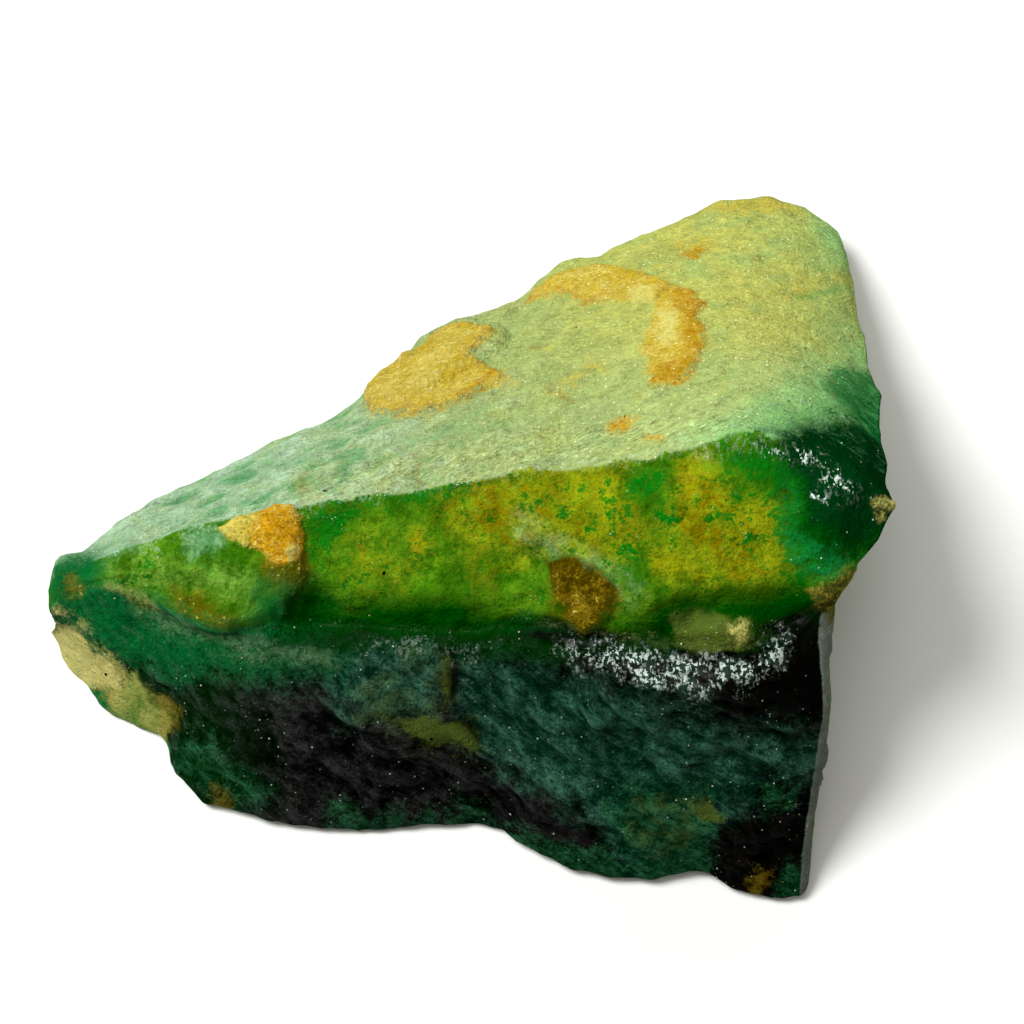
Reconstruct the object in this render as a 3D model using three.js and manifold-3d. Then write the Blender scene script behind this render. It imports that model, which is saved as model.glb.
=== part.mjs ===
// A rough chunk of green and honey fluorite, as one closed solid.
//
// The stone is a wedge. A broad sloping top falls to the back, a crooked ridge crosses the middle from
// the blunt left tip to a knob on the right, and in front of the ridge a band slopes down to a rim, a
// hollow with a shelf, and a steep dark front. Each of those edges is one line through a few points, and
// the skin is stretched from line to line, all the way round the stone.
//
// Units are millimetres, +Z is up, and the origin is at the centre of the base, on the ground.

import * as THREE from 'three';
import Module from 'manifold-3d';
import { ParametricGeometry } from 'three/addons/geometries/ParametricGeometry.js';
import { mergeVertices } from 'three/addons/utils/BufferGeometryUtils.js';

// ---------------------------------------------------------------- driving dimensions

const STEPS_ALONG = 72; // grid steps from the left tip to the right face
const STEPS_AROUND = 62; // grid steps round a section
const LEFT_CAP = 0.03; // share of the steps along that close the left tip
const RIGHT_CAP = 0.14; // share of the steps along that close the right face
const LEFT_POLE = [-38.6, -7.6, 4.1]; // middle of the left tip
const RIGHT_POLE = [25.2, 1.0, 6.0]; // middle of the right face
const CAP_FLATNESS = 3; // a higher power makes the two end faces flatter and their edges sharper
const EDGE_ROUNDING = 0.008; // share of the way round over which an edge is softened
const HEART_INSET = 8; // how far the middle line stays behind the right pole
const GROUND_BLOCK = 120; // side of the block that cuts the base flat
const MERGE_TOLERANCE = 1e-4; // points closer than this are one point

// Relief of the broken faces. `size` is how far apart its lumps are, `height` how far they stand out,
// and `start` where its pattern begins, so that no two patterns fall in step.
const SWELL = { size: 9.0, height: 0.55 }; // broad undulation
const CHATTER = { size: 3.6, height: 0.28, start: 7 }; // smaller steps and dimples
const SCALLOP = { size: 6.4, height: 1.1, onTop: 0.35, mean: 0.28 }; // bowls with sharp borders
const RIB = { size: 4.2, stretch: 2.2, slant: 15, height: 0.3, start: 3 }; // slanting ribs, in front

// Where the quieter relief of the sloping top, and the ribs of the steep front, fade in: the first
// number of each pair is where they are nothing and the second where they are full.
const TOP_ZONE = { x: [29, 27], y: [-5, -2], z: [4, 6] };
const FRONT_ZONE = { y: [-13, -17], z: [18, 15] };

// ---------------------------------------------------------------- the stone's edges

// Each line runs from the left tip to the right face. `turn` is its place on the way round a section,
// from 0 at the back edge, over the top, down the front and under the base, to 1 at the back edge.
const LINES = [
  {
    name: 'back edge', turn: 0.0, points: [
      [-35.8, -4.4, 10.5], [-33.5, -1.5, 9.5], [-30.5, 0.9, 8.5], [-25.4, 4.6, 7], [-20.9, 7.9, 6],
      [-15.9, 11.1, 5], [-12.8, 14.5, 5], [-9.5, 17.4, 5], [-6.9, 20.5, 4.5], [-3.6, 22.6, 4],
      [0.5, 24.3, 3.5], [3.9, 26.9, 4], [8, 29.3, 3.5], [12.7, 31.9, 3], [16.4, 33.7, 3], [20, 35.3, 3],
      [24, 35.7, 3], [27.2, 34.3, 3], [29.5, 31.3, 3.5], [30.2, 27.7, 4],
    ],
  },
  {
    name: 'middle of the sloping top', turn: 0.215, points: [
      [-36, -5.6, 11.2], [-30, -2, 11.5], [-22, 1.2, 12], [-13, 5.5, 12.6], [-2, 10, 13.6],
      [10, 13.5, 15], [20, 14.5, 16], [26, 12.5, 15.6], [30.2, 8, 15.2],
    ],
  },
  {
    name: 'ridge', turn: 0.43, points: [
      [-35.9, -6.7, 11.5], [-32.7, -5.7, 13.2], [-25.2, -4.5, 15], [-17, -3.5, 17], [-8.9, -3.3, 19.3],
      [-0.9, -2.8, 21.5], [6.9, -2.7, 23.5], [13, -2.2, 25], [17.2, -1.5, 26], [21.4, -2.3, 26.3],
      [25.2, -3.9, 25.8], [27.7, -5.1, 24.8], [29.5, -6.5, 23.2],
    ],
  },
  {
    name: 'middle of the band', turn: 0.495, points: [
      [-36.4, -7.2, 10.8], [-32.3, -7.6, 12.8], [-25.2, -7.8, 14.4], [-17, -6.8, 15], [-8.9, -7.4, 17],
      [-0.9, -7.2, 19.2], [8, -7.8, 22], [17, -7.2, 24], [23.5, -8.8, 24], [28.2, -8.9, 22.4],
    ],
  },
  {
    name: 'rim', turn: 0.56, points: [
      [-36.6, -7.6, 10], [-33.5, -7.6, 12], [-30.9, -8.2, 12.6], [-27.4, -10, 12.6],
      [-22.6, -11.4, 12.8], [-17.1, -10, 13.6], [-8.9, -11.5, 14.8], [-0.9, -11.5, 16.8],
      [3.8, -11, 18.5], [8.4, -12.9, 19.8], [14.5, -12.5, 20.6], [19.1, -12, 21], [23, -13.3, 20.6],
      [26.2, -10.6, 21],
    ],
  },
  {
    name: 'hollow', turn: 0.605, points: [
      [-37, -8.1, 8.5], [-33.5, -8.2, 11.5], [-30.9, -8.9, 12], [-27.4, -10.7, 12.1],
      [-22.6, -12.3, 12.1], [-17, -12, 12.2], [-6, -12.8, 13.8], [3.8, -13.3, 15.4], [9, -15, 16.2],
      [14.5, -15, 16.6], [19.3, -14.4, 17.2], [24.3, -12.6, 19.4],
    ],
  },
  {
    name: 'lip', turn: 0.65, points: [
      [-37.4, -8.5, 7.4], [-33.5, -8.9, 11], [-30.9, -9.5, 11.4], [-27.4, -11.3, 11.6],
      [-22.6, -13.2, 11.6], [-17, -14.2, 12.2], [-5.7, -14.3, 14.3], [3.8, -15.8, 15.8],
      [8.4, -18.3, 16.8], [13.8, -19.2, 17.3], [19.2, -17.5, 17.8], [23.5, -13.6, 18.3],
    ],
  },
  {
    name: 'middle of the steep front', turn: 0.74, points: [
      [-38.2, -8.4, 6.2], [-34.7, -10.4, 8], [-30.8, -13, 7.6], [-26, -16.6, 7.2], [-17, -19.4, 7.2],
      [-5, -19.2, 8.2], [5, -22, 9.4], [14, -24, 10], [20, -24, 10], [23.9, -21.5, 10],
    ],
  },
  {
    name: 'toe', turn: 0.83, points: [
      [-38.9, -8.4, 3.8], [-37, -10.2, 4.2], [-34.4, -11.9, 4.3], [-31.4, -14.2, 3.3],
      [-29.5, -16.2, 2.5], [-28.8, -18.2, 2], [-28.4, -20.6, 1.5], [-26, -22.8, 1], [-21.4, -24.2, 1],
      [-17.5, -25.2, 0.8], [-8.4, -24.8, 0.8], [-2.6, -24.6, 1], [0.9, -26.8, 1], [5.5, -28.8, 1],
      [10.4, -29.5, 1], [15.3, -29.2, 1], [19.4, -30.6, 1], [22.9, -30.8, 1],
    ],
  },
  {
    name: 'foot', turn: 0.86, points: [
      [-39.6, -7.8, 1], [-38.4, -10.3, 0.5], [-36.3, -12.5, 0.5], [-34.7, -14.6, 0.5], [-32.1, -15.7, 0.5],
      [-29.6, -17, 0.5], [-28, -20, 0], [-25.4, -22.4, -0.2], [-17.5, -24.6, -0.3], [-8.4, -24.2, -0.3],
      [-2.6, -24, -0.3], [5.5, -28.2, -0.3], [15.3, -28.6, -0.3], [23.4, -30, -0.3],
    ],
  },
  {
    name: 'front of the base', turn: 0.9, points: [
      [-37.4, -7, -3], [-33, -11, -3], [-26, -17.5, -3], [-15, -21, -3], [-2, -21, -3], [8, -24.5, -3],
      [23.4, -27, -3],
    ],
  },
  {
    name: 'back of the base', turn: 0.93, points: [
      [-36.4, -5.2, -3], [-30, 1, -3], [-20, 7, -3], [-13, 12, -3], [-4, 19.5, -3], [6, 25.5, -3],
      [16, 31, -3], [23.5, 32.5, -3], [28, 26, -3],
    ],
  },
  {
    name: 'middle of the back wall', turn: 0.965, points: [
      [-36.6, -4.8, 5], [-30.6, 1.6, 4], [-20.6, 8.4, 2.6], [-12.6, 13.8, 2], [-3.8, 21.2, 1.6],
      [7, 27.8, 1.4], [16.4, 32.8, 1.2], [24, 34.4, 1.2], [29.6, 27.2, 1.6],
    ],
  },
];

// ---------------------------------------------------------------- lumps, plates and hollows

// Each one is an oval patch of the skin that stands out by `lift`, or sinks where that is negative.
// `reach` is its half size along, across and up, `angle` its direction seen from above in degrees, and
// `edge` the share of its half size over which it falls away: small for a plate, 1 for a round lump.
const PATCHES = [
  { name: 'honey plate', at: [-6.8, 14, 8.6], reach: [6.6, 3.8, 8], angle: 32, edge: 0.2, lift: 0.9 },
  { name: 'back plate', at: [7.5, 25, 7], reach: [7, 3.2, 6], angle: 22, edge: 0.25, lift: 0.6 },
  { name: 'left knuckle', at: [-24, -8, 14], reach: [6.6, 4.2, 5], angle: 0, edge: 0.3, lift: 0.8 },
  { name: 'cornered chip', at: [5.2, -11.6, 18], reach: [2.7, 2.8, 3.4], angle: 0, edge: 0.4, lift: 0.7 },
  { name: 'front slab', at: [-9.4, -17.2, 10.8], reach: [4.2, 5, 5], angle: 0, edge: 0.5, lift: 0.6 },
  { name: 'shelf knob', at: [16.8, -15, 17.2], reach: [2.6, 1.9, 2.4], angle: 0, edge: 0.9, lift: 1 },
  { name: 'scoop under the shelf', at: [14, -23, 12], reach: [8, 4, 4], angle: 0, edge: 1, lift: -0.8 },
  { name: 'dint', at: [-14.4, -11.6, 13], reach: [2.8, 2.4, 3], angle: 0, edge: 1, lift: -0.9 },
  { name: 'scar on the back', at: [-6, 20.5, 1], reach: [8, 4, 3.5], angle: 40, edge: 0.4, lift: -0.9 },
  { name: 'flake off the right', at: [28, 12, 6], reach: [3, 8, 5], angle: 0, edge: 0.3, lift: -0.8 },
];

// ---------------------------------------------------------------- helpers

const mix = (a, b, t) => a + (b - a) * t;
const clamp01 = (t) => Math.min(1, Math.max(0, t));
const smooth = (t) => t * t * (3 - 2 * t);
const fade = ([none, full], value) => smooth(clamp01((value - none) / (full - none)));

// A fixed pseudo-random number from 0 to 1 for each point of a whole-number lattice.
function latticeValue(i, j, k) {
  const wave = Math.sin(i * 127.1 + j * 311.7 + k * 74.7) * 43758.5453;
  return wave - Math.floor(wave);
}

// Smooth noise from -1 to 1, whose lumps are about one unit apart.
function noise(x, y, z) {
  const cell = [x, y, z].map(Math.floor);
  const [fx, fy, fz] = [x, y, z].map((value, axis) => smooth(value - cell[axis]));
  const row = (j, k) => mix(
    latticeValue(cell[0], cell[1] + j, cell[2] + k),
    latticeValue(cell[0] + 1, cell[1] + j, cell[2] + k),
    fx,
  );
  const layer = (k) => mix(row(0, k), row(1, k), fy);
  return 2 * mix(layer(0), layer(1), fz) - 1;
}

// A scattered point stands somewhere in each unit cell. Its three shares of the cell are read from the
// lattice at the cell itself and at these two steps away from it.
const SECOND_READING = 17;
const THIRD_READING = 31;

// Squared distance to the nearest scattered point. It is 0 in the middle of a bowl and rises to a sharp
// border, mostly under 0.8, where two bowls meet.
function scallop(x, y, z) {
  const cell = [x, y, z].map(Math.floor);
  let nearest = Infinity;
  for (let step = 0; step < 27; step += 1) {
    const i = cell[0] + (step % 3) - 1;
    const j = cell[1] + (Math.floor(step / 3) % 3) - 1;
    const k = cell[2] + Math.floor(step / 9) - 1;
    const dx = i + latticeValue(i, j, k) - x;
    const dy = j + latticeValue(i + SECOND_READING, j, k) - y;
    const dz = k + latticeValue(i, j + THIRD_READING, k) - z;
    nearest = Math.min(nearest, dx * dx + dy * dy + dz * dz);
  }
  return nearest;
}

const curves = LINES.map(({ points }) => new THREE.CatmullRomCurve3(
  points.map((point) => new THREE.Vector3(...point)),
));

// ---------------------------------------------------------------- the skin

// The corners of the section at `along`: one point on each edge, with the first repeated at the end.
function sectionCorners(along) {
  const corners = curves.map((curve) => curve.getPointAt(along));
  return [...corners, corners[0]];
}

// A point on the straight-sided section, at `around` of the way round it.
function sectionPoint(corners, around) {
  const turn = around - Math.floor(around);
  const turns = [...LINES.map((line) => line.turn), 1];
  const next = turns.findIndex((edge) => edge > turn);
  const share = (turn - turns[next - 1]) / (turns[next] - turns[next - 1]);
  return corners[next - 1].clone().lerp(corners[next], share);
}

// The same section with its edges softened.
function softSectionPoint(corners, around) {
  const point = sectionPoint(corners, around).multiplyScalar(2);
  point.add(sectionPoint(corners, around - EDGE_ROUNDING));
  point.add(sectionPoint(corners, around + EDGE_ROUNDING));
  return point.multiplyScalar(0.25);
}

// A cap domes from the last section to its pole: `open` is 0 at the pole and 1 at the section.
function capPoint(ring, pole, open) {
  const spread = Math.sin(open * Math.PI / 2);
  const depth = open ** CAP_FLATNESS;
  return new THREE.Vector3(
    mix(pole[0], ring.x, depth),
    mix(pole[1], ring.y, spread),
    mix(pole[2], ring.z, spread),
  );
}

// How far a patch lifts the skin at a point.
function patchLift(point, { at, reach, angle, edge, lift }) {
  const dx = point.x - at[0];
  const dy = point.y - at[1];
  const radians = THREE.MathUtils.degToRad(angle);
  const along = (dx * Math.cos(radians) + dy * Math.sin(radians)) / reach[0];
  const across = (dy * Math.cos(radians) - dx * Math.sin(radians)) / reach[1];
  const up = (point.z - at[2]) / reach[2];
  const distance = Math.hypot(along, across, up);
  return lift * smooth(clamp01((1 + edge / 2 - distance) / edge));
}

// 1 on the steep front, falling to 0 on the band above it.
const frontness = (y, z) => fade(FRONT_ZONE.y, y) * fade(FRONT_ZONE.z, z);

// 1 on the wide sloping top, falling to 0 at the ridge, the back wall and the right face.
const topness = (x, y, z) => fade(TOP_ZONE.x, x) * fade(TOP_ZONE.y, y) * fade(TOP_ZONE.z, z);

// Height of the broken surface over the smooth one: swells, chatter, scallops, ribs on the front, and
// patches.
function relief({ x, y, z }) {
  const swell = SWELL.height * noise(x / SWELL.size, y / SWELL.size, z / SWELL.size);
  const chatter = CHATTER.height
    * noise(x / CHATTER.size + CHATTER.start, y / CHATTER.size, z / CHATTER.size);
  const bowl = scallop(x / SCALLOP.size, y / SCALLOP.size, z / SCALLOP.size) - SCALLOP.mean;
  const scallops = SCALLOP.height * bowl * mix(1, SCALLOP.onTop, topness(x, y, z));
  const lean = THREE.MathUtils.degToRad(RIB.slant);
  const alongRib = (x * Math.cos(lean) - z * Math.sin(lean)) / (RIB.size * RIB.stretch);
  const acrossRib = (x * Math.sin(lean) + z * Math.cos(lean)) / RIB.size;
  const ribs = RIB.height
    * noise(alongRib + RIB.start, y / RIB.size, acrossRib) * frontness(y, z);
  const patches = PATCHES.reduce((sum, patch) => sum + patchLift({ x, y, z }, patch), 0);
  return swell + chatter + scallops + ribs + patches;
}

// The finished skin at `around` the section and `along` from tip to right face, both 0 to 1.
function skin(around, along, target) {
  const bodyShare = 1 - LEFT_CAP - RIGHT_CAP;
  const body = clamp01((along - LEFT_CAP) / bodyShare);
  const corners = sectionCorners(body);
  const ring = softSectionPoint(corners, around);
  let point = ring;
  if (along < LEFT_CAP) point = capPoint(ring, LEFT_POLE, along / LEFT_CAP);
  if (along > 1 - RIGHT_CAP) point = capPoint(ring, RIGHT_POLE, (1 - along) / RIGHT_CAP);

  const heart = new THREE.Vector3();
  corners.slice(0, -1).forEach((corner) => heart.addScaledVector(corner, 1 / LINES.length));
  heart.x = Math.min(heart.x, RIGHT_POLE[0] - HEART_INSET);
  const outward = point.clone().sub(heart).normalize();
  target.copy(point).addScaledVector(outward, relief(point));
}

// ---------------------------------------------------------------- the solid

const wasm = await Module();
wasm.setup();

// A closed three.js geometry as a manifold-3d solid, without the flat triangles at the poles.
function toSolid(geometry) {
  geometry.deleteAttribute('normal');
  geometry.deleteAttribute('uv');
  const merged = mergeVertices(geometry, MERGE_TOLERANCE);
  const corners = merged.index.array;
  const kept = [];
  for (let i = 0; i < corners.length; i += 3) {
    const [a, b, c] = corners.slice(i, i + 3);
    if (a !== b && b !== c && c !== a) kept.push(a, b, c);
  }
  return new wasm.Manifold(new wasm.Mesh({
    numProp: 3,
    vertProperties: new Float32Array(merged.attributes.position.array),
    triVerts: new Uint32Array(kept),
  }));
}

function toGeometry(solid) {
  const { vertProperties, triVerts } = solid.getMesh();
  const geometry = new THREE.BufferGeometry();
  geometry.setAttribute('position', new THREE.BufferAttribute(vertProperties, 3));
  geometry.setIndex(new THREE.BufferAttribute(triVerts, 1));
  geometry.computeVertexNormals();
  return geometry;
}

function buildStone() {
  const rough = toSolid(new ParametricGeometry(skin, STEPS_AROUND, STEPS_ALONG));
  const ground = new THREE.BoxGeometry(GROUND_BLOCK, GROUND_BLOCK, GROUND_BLOCK);
  ground.translate(0, 0, -GROUND_BLOCK / 2);
  const geometry = toGeometry(rough.subtract(toSolid(ground)));
  geometry.computeBoundingBox();
  const middle = geometry.boundingBox.getCenter(new THREE.Vector3());
  return geometry.translate(-middle.x, -middle.y, 0);
}

const stone = new THREE.Mesh(buildStone(), new THREE.MeshStandardMaterial({
  color: 0x6f8a3c,
  roughness: 0.45,
  metalness: 0,
}));
stone.name = 'fluorite';

const part = new THREE.Group();
part.add(stone);

export default part;
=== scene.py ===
"""A rough chunk of green and honey fluorite: its broken surface, its colours, and a plain stage.

The stone is one closed skin stretched over the edges of the chunk, from the blunt left tip to the right
face. It is worked out in millimetres in the stone's own frame, then moved onto the CAD solid's box.
"""

import math

import bpy
import numpy as np
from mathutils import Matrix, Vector


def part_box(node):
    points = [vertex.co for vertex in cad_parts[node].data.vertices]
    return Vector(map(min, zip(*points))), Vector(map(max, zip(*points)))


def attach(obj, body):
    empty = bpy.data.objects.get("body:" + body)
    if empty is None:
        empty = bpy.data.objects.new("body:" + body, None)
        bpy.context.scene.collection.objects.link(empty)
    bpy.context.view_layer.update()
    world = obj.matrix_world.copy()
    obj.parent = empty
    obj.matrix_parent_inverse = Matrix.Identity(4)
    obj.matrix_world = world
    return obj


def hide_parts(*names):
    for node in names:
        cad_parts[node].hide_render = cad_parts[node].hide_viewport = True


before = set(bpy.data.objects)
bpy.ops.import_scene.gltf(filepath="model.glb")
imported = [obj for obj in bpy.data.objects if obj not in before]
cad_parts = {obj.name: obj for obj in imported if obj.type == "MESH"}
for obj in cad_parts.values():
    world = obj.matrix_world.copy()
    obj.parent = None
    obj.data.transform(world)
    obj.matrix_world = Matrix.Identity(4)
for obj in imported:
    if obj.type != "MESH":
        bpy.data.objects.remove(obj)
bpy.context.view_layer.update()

stone_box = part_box("fluorite")

MM = 0.001             # metres in a millimetre
STEPS_ALONG = 326      # grid steps from the left tip to the right face
STEPS_AROUND = 304     # grid steps round a section
LEFT_CAP = 0.03        # share of the steps along that close the left tip
RIGHT_CAP = 0.14       # share of the steps along that close the right face
LEFT_POLE = (-38.6, -7.6, 4.1)   # middle of the left tip
RIGHT_POLE = (25.2, 1.0, 6.0)    # middle of the right face
CAP_FLATNESS = 3       # power by which an end's depth grows as it opens
EDGE_ROUNDING = 0.006  # share of the way round over which an edge is softened
HEART_INSET = 8.0      # how far the middle line stays behind the right pole
SPAN_STEPS = 40        # steps in which each span of an edge line is measured
OUTWARD_LEAN = 0.25    # share of the outward direction that steadies the normals

# ---------------------------------------------------------------- the stone's edges

# Each line runs from the left tip to the right face. The number is its place on the way round a
# section, from 0 at the back edge, over the top, down the front and under the base, to 1.
LINES = {
    "back edge": (0.0, [
        (-35.8, -4.4, 10.5), (-33.5, -1.5, 9.5), (-30.5, 0.9, 8.5), (-25.4, 4.6, 7), (-20.9, 7.9, 6),
        (-15.9, 11.1, 5), (-12.8, 14.5, 5), (-9.5, 17.4, 5), (-6.9, 20.5, 4.5), (-3.6, 22.6, 4),
        (0.5, 24.3, 3.5), (3.9, 26.9, 4), (8, 29.3, 3.5), (12.7, 31.9, 3), (16.4, 33.7, 3),
        (20, 35.3, 3), (24, 35.7, 3), (27.2, 34.3, 3), (29.5, 31.3, 3.5), (30.2, 27.7, 4),
    ]),
    "middle of the sloping top": (0.215, [
        (-36, -5.6, 11.2), (-30, -2, 11.5), (-22, 1.2, 12), (-13, 5.5, 12.6), (-2, 10, 13.6),
        (10, 13.5, 15), (20, 14.5, 16), (26, 12.5, 15.6), (30.2, 8, 15.2),
    ]),
    "ridge": (0.43, [
        (-35.9, -6.7, 11.5), (-32.7, -5.7, 13.2), (-25.2, -4.5, 15), (-17, -3.5, 17), (-8.9, -3.3, 19.3),
        (-0.9, -2.8, 21.5), (6.9, -2.7, 23.5), (13, -2.2, 25), (17.2, -1.5, 26), (21.4, -2.3, 26.3),
        (25.2, -3.9, 25.8), (27.7, -5.1, 24.8), (29.5, -6.5, 23.2),
    ]),
    "middle of the band": (0.495, [
        (-36.4, -7.2, 10.8), (-32.3, -7.6, 12.8), (-25.2, -7.8, 14.4), (-17, -6.8, 15), (-8.9, -7.4, 17),
        (-0.9, -7.2, 19.2), (8, -7.8, 22), (17, -7.2, 24), (23.5, -8.8, 24), (28.2, -8.9, 22.4),
    ]),
    "rim": (0.56, [
        (-36.6, -7.6, 10), (-33.5, -7.6, 12), (-30.9, -8.2, 12.6), (-27.4, -10, 12.6),
        (-22.6, -11.4, 12.8), (-17.1, -10, 13.6), (-8.9, -11.5, 14.8), (-0.9, -11.5, 16.8),
        (3.8, -11, 18.5), (8.4, -12.9, 19.8), (14.5, -12.5, 20.6), (19.1, -12, 21),
        (23, -13.3, 20.6), (26.2, -10.6, 21),
    ]),
    "hollow": (0.605, [
        (-37, -8.1, 8.5), (-33.5, -8.2, 11.5), (-30.9, -8.9, 12), (-27.4, -10.7, 12.1),
        (-22.6, -12.3, 12.1), (-17, -12, 12.2), (-6, -12.8, 13.8), (3.8, -13.3, 15.4), (9, -15, 16.2),
        (14.5, -15, 16.6), (19.3, -14.4, 17.2), (24.3, -12.6, 19.4),
    ]),
    "lip": (0.65, [
        (-37.4, -8.5, 7.4), (-33.5, -8.9, 11), (-30.9, -9.5, 11.4), (-27.4, -11.3, 11.6),
        (-22.6, -13.2, 11.6), (-17, -14.2, 12.2), (-5.7, -14.3, 14.3), (3.8, -15.8, 15.8),
        (8.4, -18.3, 16.8), (13.8, -19.2, 17.3), (19.2, -17.5, 17.8), (23.5, -13.6, 18.3),
    ]),
    "middle of the steep front": (0.74, [
        (-38.2, -8.4, 6.2), (-34.7, -10.4, 8), (-30.8, -13, 7.6), (-26, -16.6, 7.2), (-17, -19.4, 7.2),
        (-5, -19.2, 8.2), (5, -22, 9.4), (14, -24, 10), (20, -24, 10), (23.9, -21.5, 10),
    ]),
    "toe": (0.83, [
        (-38.9, -8.4, 3.8), (-37, -10.2, 4.2), (-34.4, -11.9, 4.3), (-31.4, -14.2, 3.3),
        (-29.5, -16.2, 2.5), (-28.8, -18.2, 2), (-28.4, -20.6, 1.5), (-26, -22.8, 1), (-21.4, -24.2, 1),
        (-17.5, -25.2, 0.8), (-8.4, -24.8, 0.8), (-2.6, -24.6, 1), (0.9, -26.8, 1), (5.5, -28.8, 1),
        (10.4, -29.5, 1), (15.3, -29.2, 1), (19.4, -30.6, 1), (22.9, -30.8, 1),
    ]),
    "foot": (0.86, [
        (-39.6, -7.8, 1), (-38.4, -10.3, 0.5), (-36.3, -12.5, 0.5), (-34.7, -14.6, 0.5), (-32.1, -15.7, 0.5),
        (-29.6, -17, 0.5), (-28, -20, 0), (-25.4, -22.4, -0.2), (-17.5, -24.6, -0.3),
        (-8.4, -24.2, -0.3), (-2.6, -24, -0.3), (5.5, -28.2, -0.3), (15.3, -28.6, -0.3),
        (23.4, -30, -0.3),
    ]),
    "front of the base": (0.9, [
        (-37.4, -7, -3), (-33, -11, -3), (-26, -17.5, -3), (-15, -21, -3), (-2, -21, -3), (8, -24.5, -3),
        (23.4, -27, -3),
    ]),
    "back of the base": (0.93, [
        (-36.4, -5.2, -3), (-30, 1, -3), (-20, 7, -3), (-13, 12, -3), (-4, 19.5, -3), (6, 25.5, -3),
        (16, 31, -3), (23.5, 32.5, -3), (28, 26, -3),
    ]),
    "middle of the back wall": (0.965, [
        (-36.6, -4.8, 5), (-30.6, 1.6, 4), (-20.6, 8.4, 2.6), (-12.6, 13.8, 2), (-3.8, 21.2, 1.6),
        (7, 27.8, 1.4), (16.4, 32.8, 1.2), (24, 34.4, 1.2), (29.6, 27.2, 1.6),
    ]),
}

# ---------------------------------------------------------------- relief, in millimetres

SWELL = {"size": 9.0, "height": 0.55}                     # broad undulation of the broken faces
CHATTER = {"size": 3.6, "height": 0.28}                   # smaller steps and dimples
SCALLOP = {"size": 6.4, "height": 1.1, "on_top": 0.35, "mean": 0.28}  # bowls with sharp borders
RIB = {"size": 4.2, "stretch": 2.2, "slant": 15, "height": 0.3}       # ribs on the steep front

# Borders in millimetres over which a face's relief rises or falls.
TOP_BORDERS = {"ridge": (-5, -2), "back wall": (4, 6), "right face": (27, 29)}
FRONT_BORDERS = {"band": (-17, -13), "height": (15, 18)}

# Patches that stand out by `lift`, or sink where it is negative: centre, half sizes along, across and
# up, angle seen from above in degrees, share of the half size over which the edge falls, and lift.
PATCHES = {
    "honey plate": ((-6.8, 14, 8.6), (6.6, 3.8, 8), 32, 0.2, 0.9),
    "back plate": ((7.5, 25, 7), (7, 3.2, 6), 22, 0.25, 0.6),
    "left knuckle": ((-24, -8, 14), (6.6, 4.2, 5), 0, 0.3, 0.8),
    "three-cornered chip": ((5.2, -11.6, 18), (2.7, 2.8, 3.4), 0, 0.4, 0.7),
    "front slab": ((-9.4, -17.2, 10.8), (4.2, 5, 5), 0, 0.5, 0.6),
    "shelf knob": ((16.8, -15, 17.2), (2.6, 1.9, 2.4), 0, 0.9, 1),
    "scoop under the shelf": ((14, -23, 12), (8, 4, 4), 0, 1, -0.8),
    "dint beside the knuckle": ((-14.4, -11.6, 13), (2.8, 2.4, 3), 0, 1, -0.9),
    "scar on the back wall": ((-6, 20.5, 1), (8, 4, 3.5), 40, 0.4, -0.9),
    "flake off the right face": ((28, 12, 6), (3, 8, 5), 0, 0.3, -0.8),
}

# Fine relief: its height, and the size of its lumps along the grain, across it and down.
FINE = {
    "crumble": (0.12, (1.9, 1.9, 1.9)),
    "small crumble": (0.08, (0.95, 0.95, 0.95)),
    "chips": (0.30, (2.3, 2.3, 2.3)),
    "wander": (0.5, (2.4, 2.4, 2.4)),
    "folds": (0.20, (3.4, 3.4, 1.3)),
    "small folds": (0.14, (1.4, 1.4, 0.55)),
    "hummocks": (-0.36, (1.7, 1.7, 0.85)),
    "dimples": (0.28, (2.2, 1.4, 2.4)),
    "streaks": (0.22, (2.6, 1.3, 2)),
    "small streaks": (0.10, (1.3, 0.6, 1.2)),
}
FRONT_SLANT = 24       # degrees by which the front's hummocks run down to the right
TOP_SLANT = 32         # degrees by which the top's dimples and streaks turn from the right to the back
FRONT_RING = {"start": (0.58, 0.68), "end": (0.80, 0.85)}  # shares of the ring round the front
ROUGH_TOP = (-6, 16)   # the top's dimples calm down between these places along x
# Shares by which fine relief is quieter, and where the right face's calm begins and is full, in
# lengths of the right cap from the pole.
QUIET = {"crumble on top": 0.4, "chips on top": 0.6, "chips on front": 0.6, "right of top": 0.55,
         "right face": 0.75}
QUIET_RIM = (1.15, 0.95)


# ---------------------------------------------------------------- helpers


def smooth(low, high, value):
    """0 below `low`, 1 above `high`, and 3t^2 - 2t^3 of the share t between them."""
    share = np.clip((value - low) / (high - low), 0, 1)
    return share * share * (3 - 2 * share)


def fall(low, high, value):
    """1 below `low`, 0 above `high`, and a smooth step between."""
    return smooth(-high, -low, -value)


def lattice_value(i, j, k):
    """A fixed pseudo-random number from 0 to 1 for each point of a whole-number lattice: what is left
    after the point of a very high sine wave, whose phase takes uneven steps along the three axes."""
    wave = np.sin(i * 127.1 + j * 311.7 + k * 74.7) * 43758.5453
    return wave - np.floor(wave)


def noise(x, y, z):
    """Smooth noise from -1 to 1: random values at whole numbers, blended in a smooth step between."""
    i, j, k = np.floor(x), np.floor(y), np.floor(z)
    fx, fy, fz = smooth(0, 1, x - i), smooth(0, 1, y - j), smooth(0, 1, z - k)
    total = 0
    for dx, wx in ((0, 1 - fx), (1, fx)):
        for dy, wy in ((0, 1 - fy), (1, fy)):
            for dz, wz in ((0, 1 - fz), (1, fz)):
                total = total + wx * wy * wz * lattice_value(i + dx, j + dy, k + dz)
    return 2 * total - 1


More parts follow.
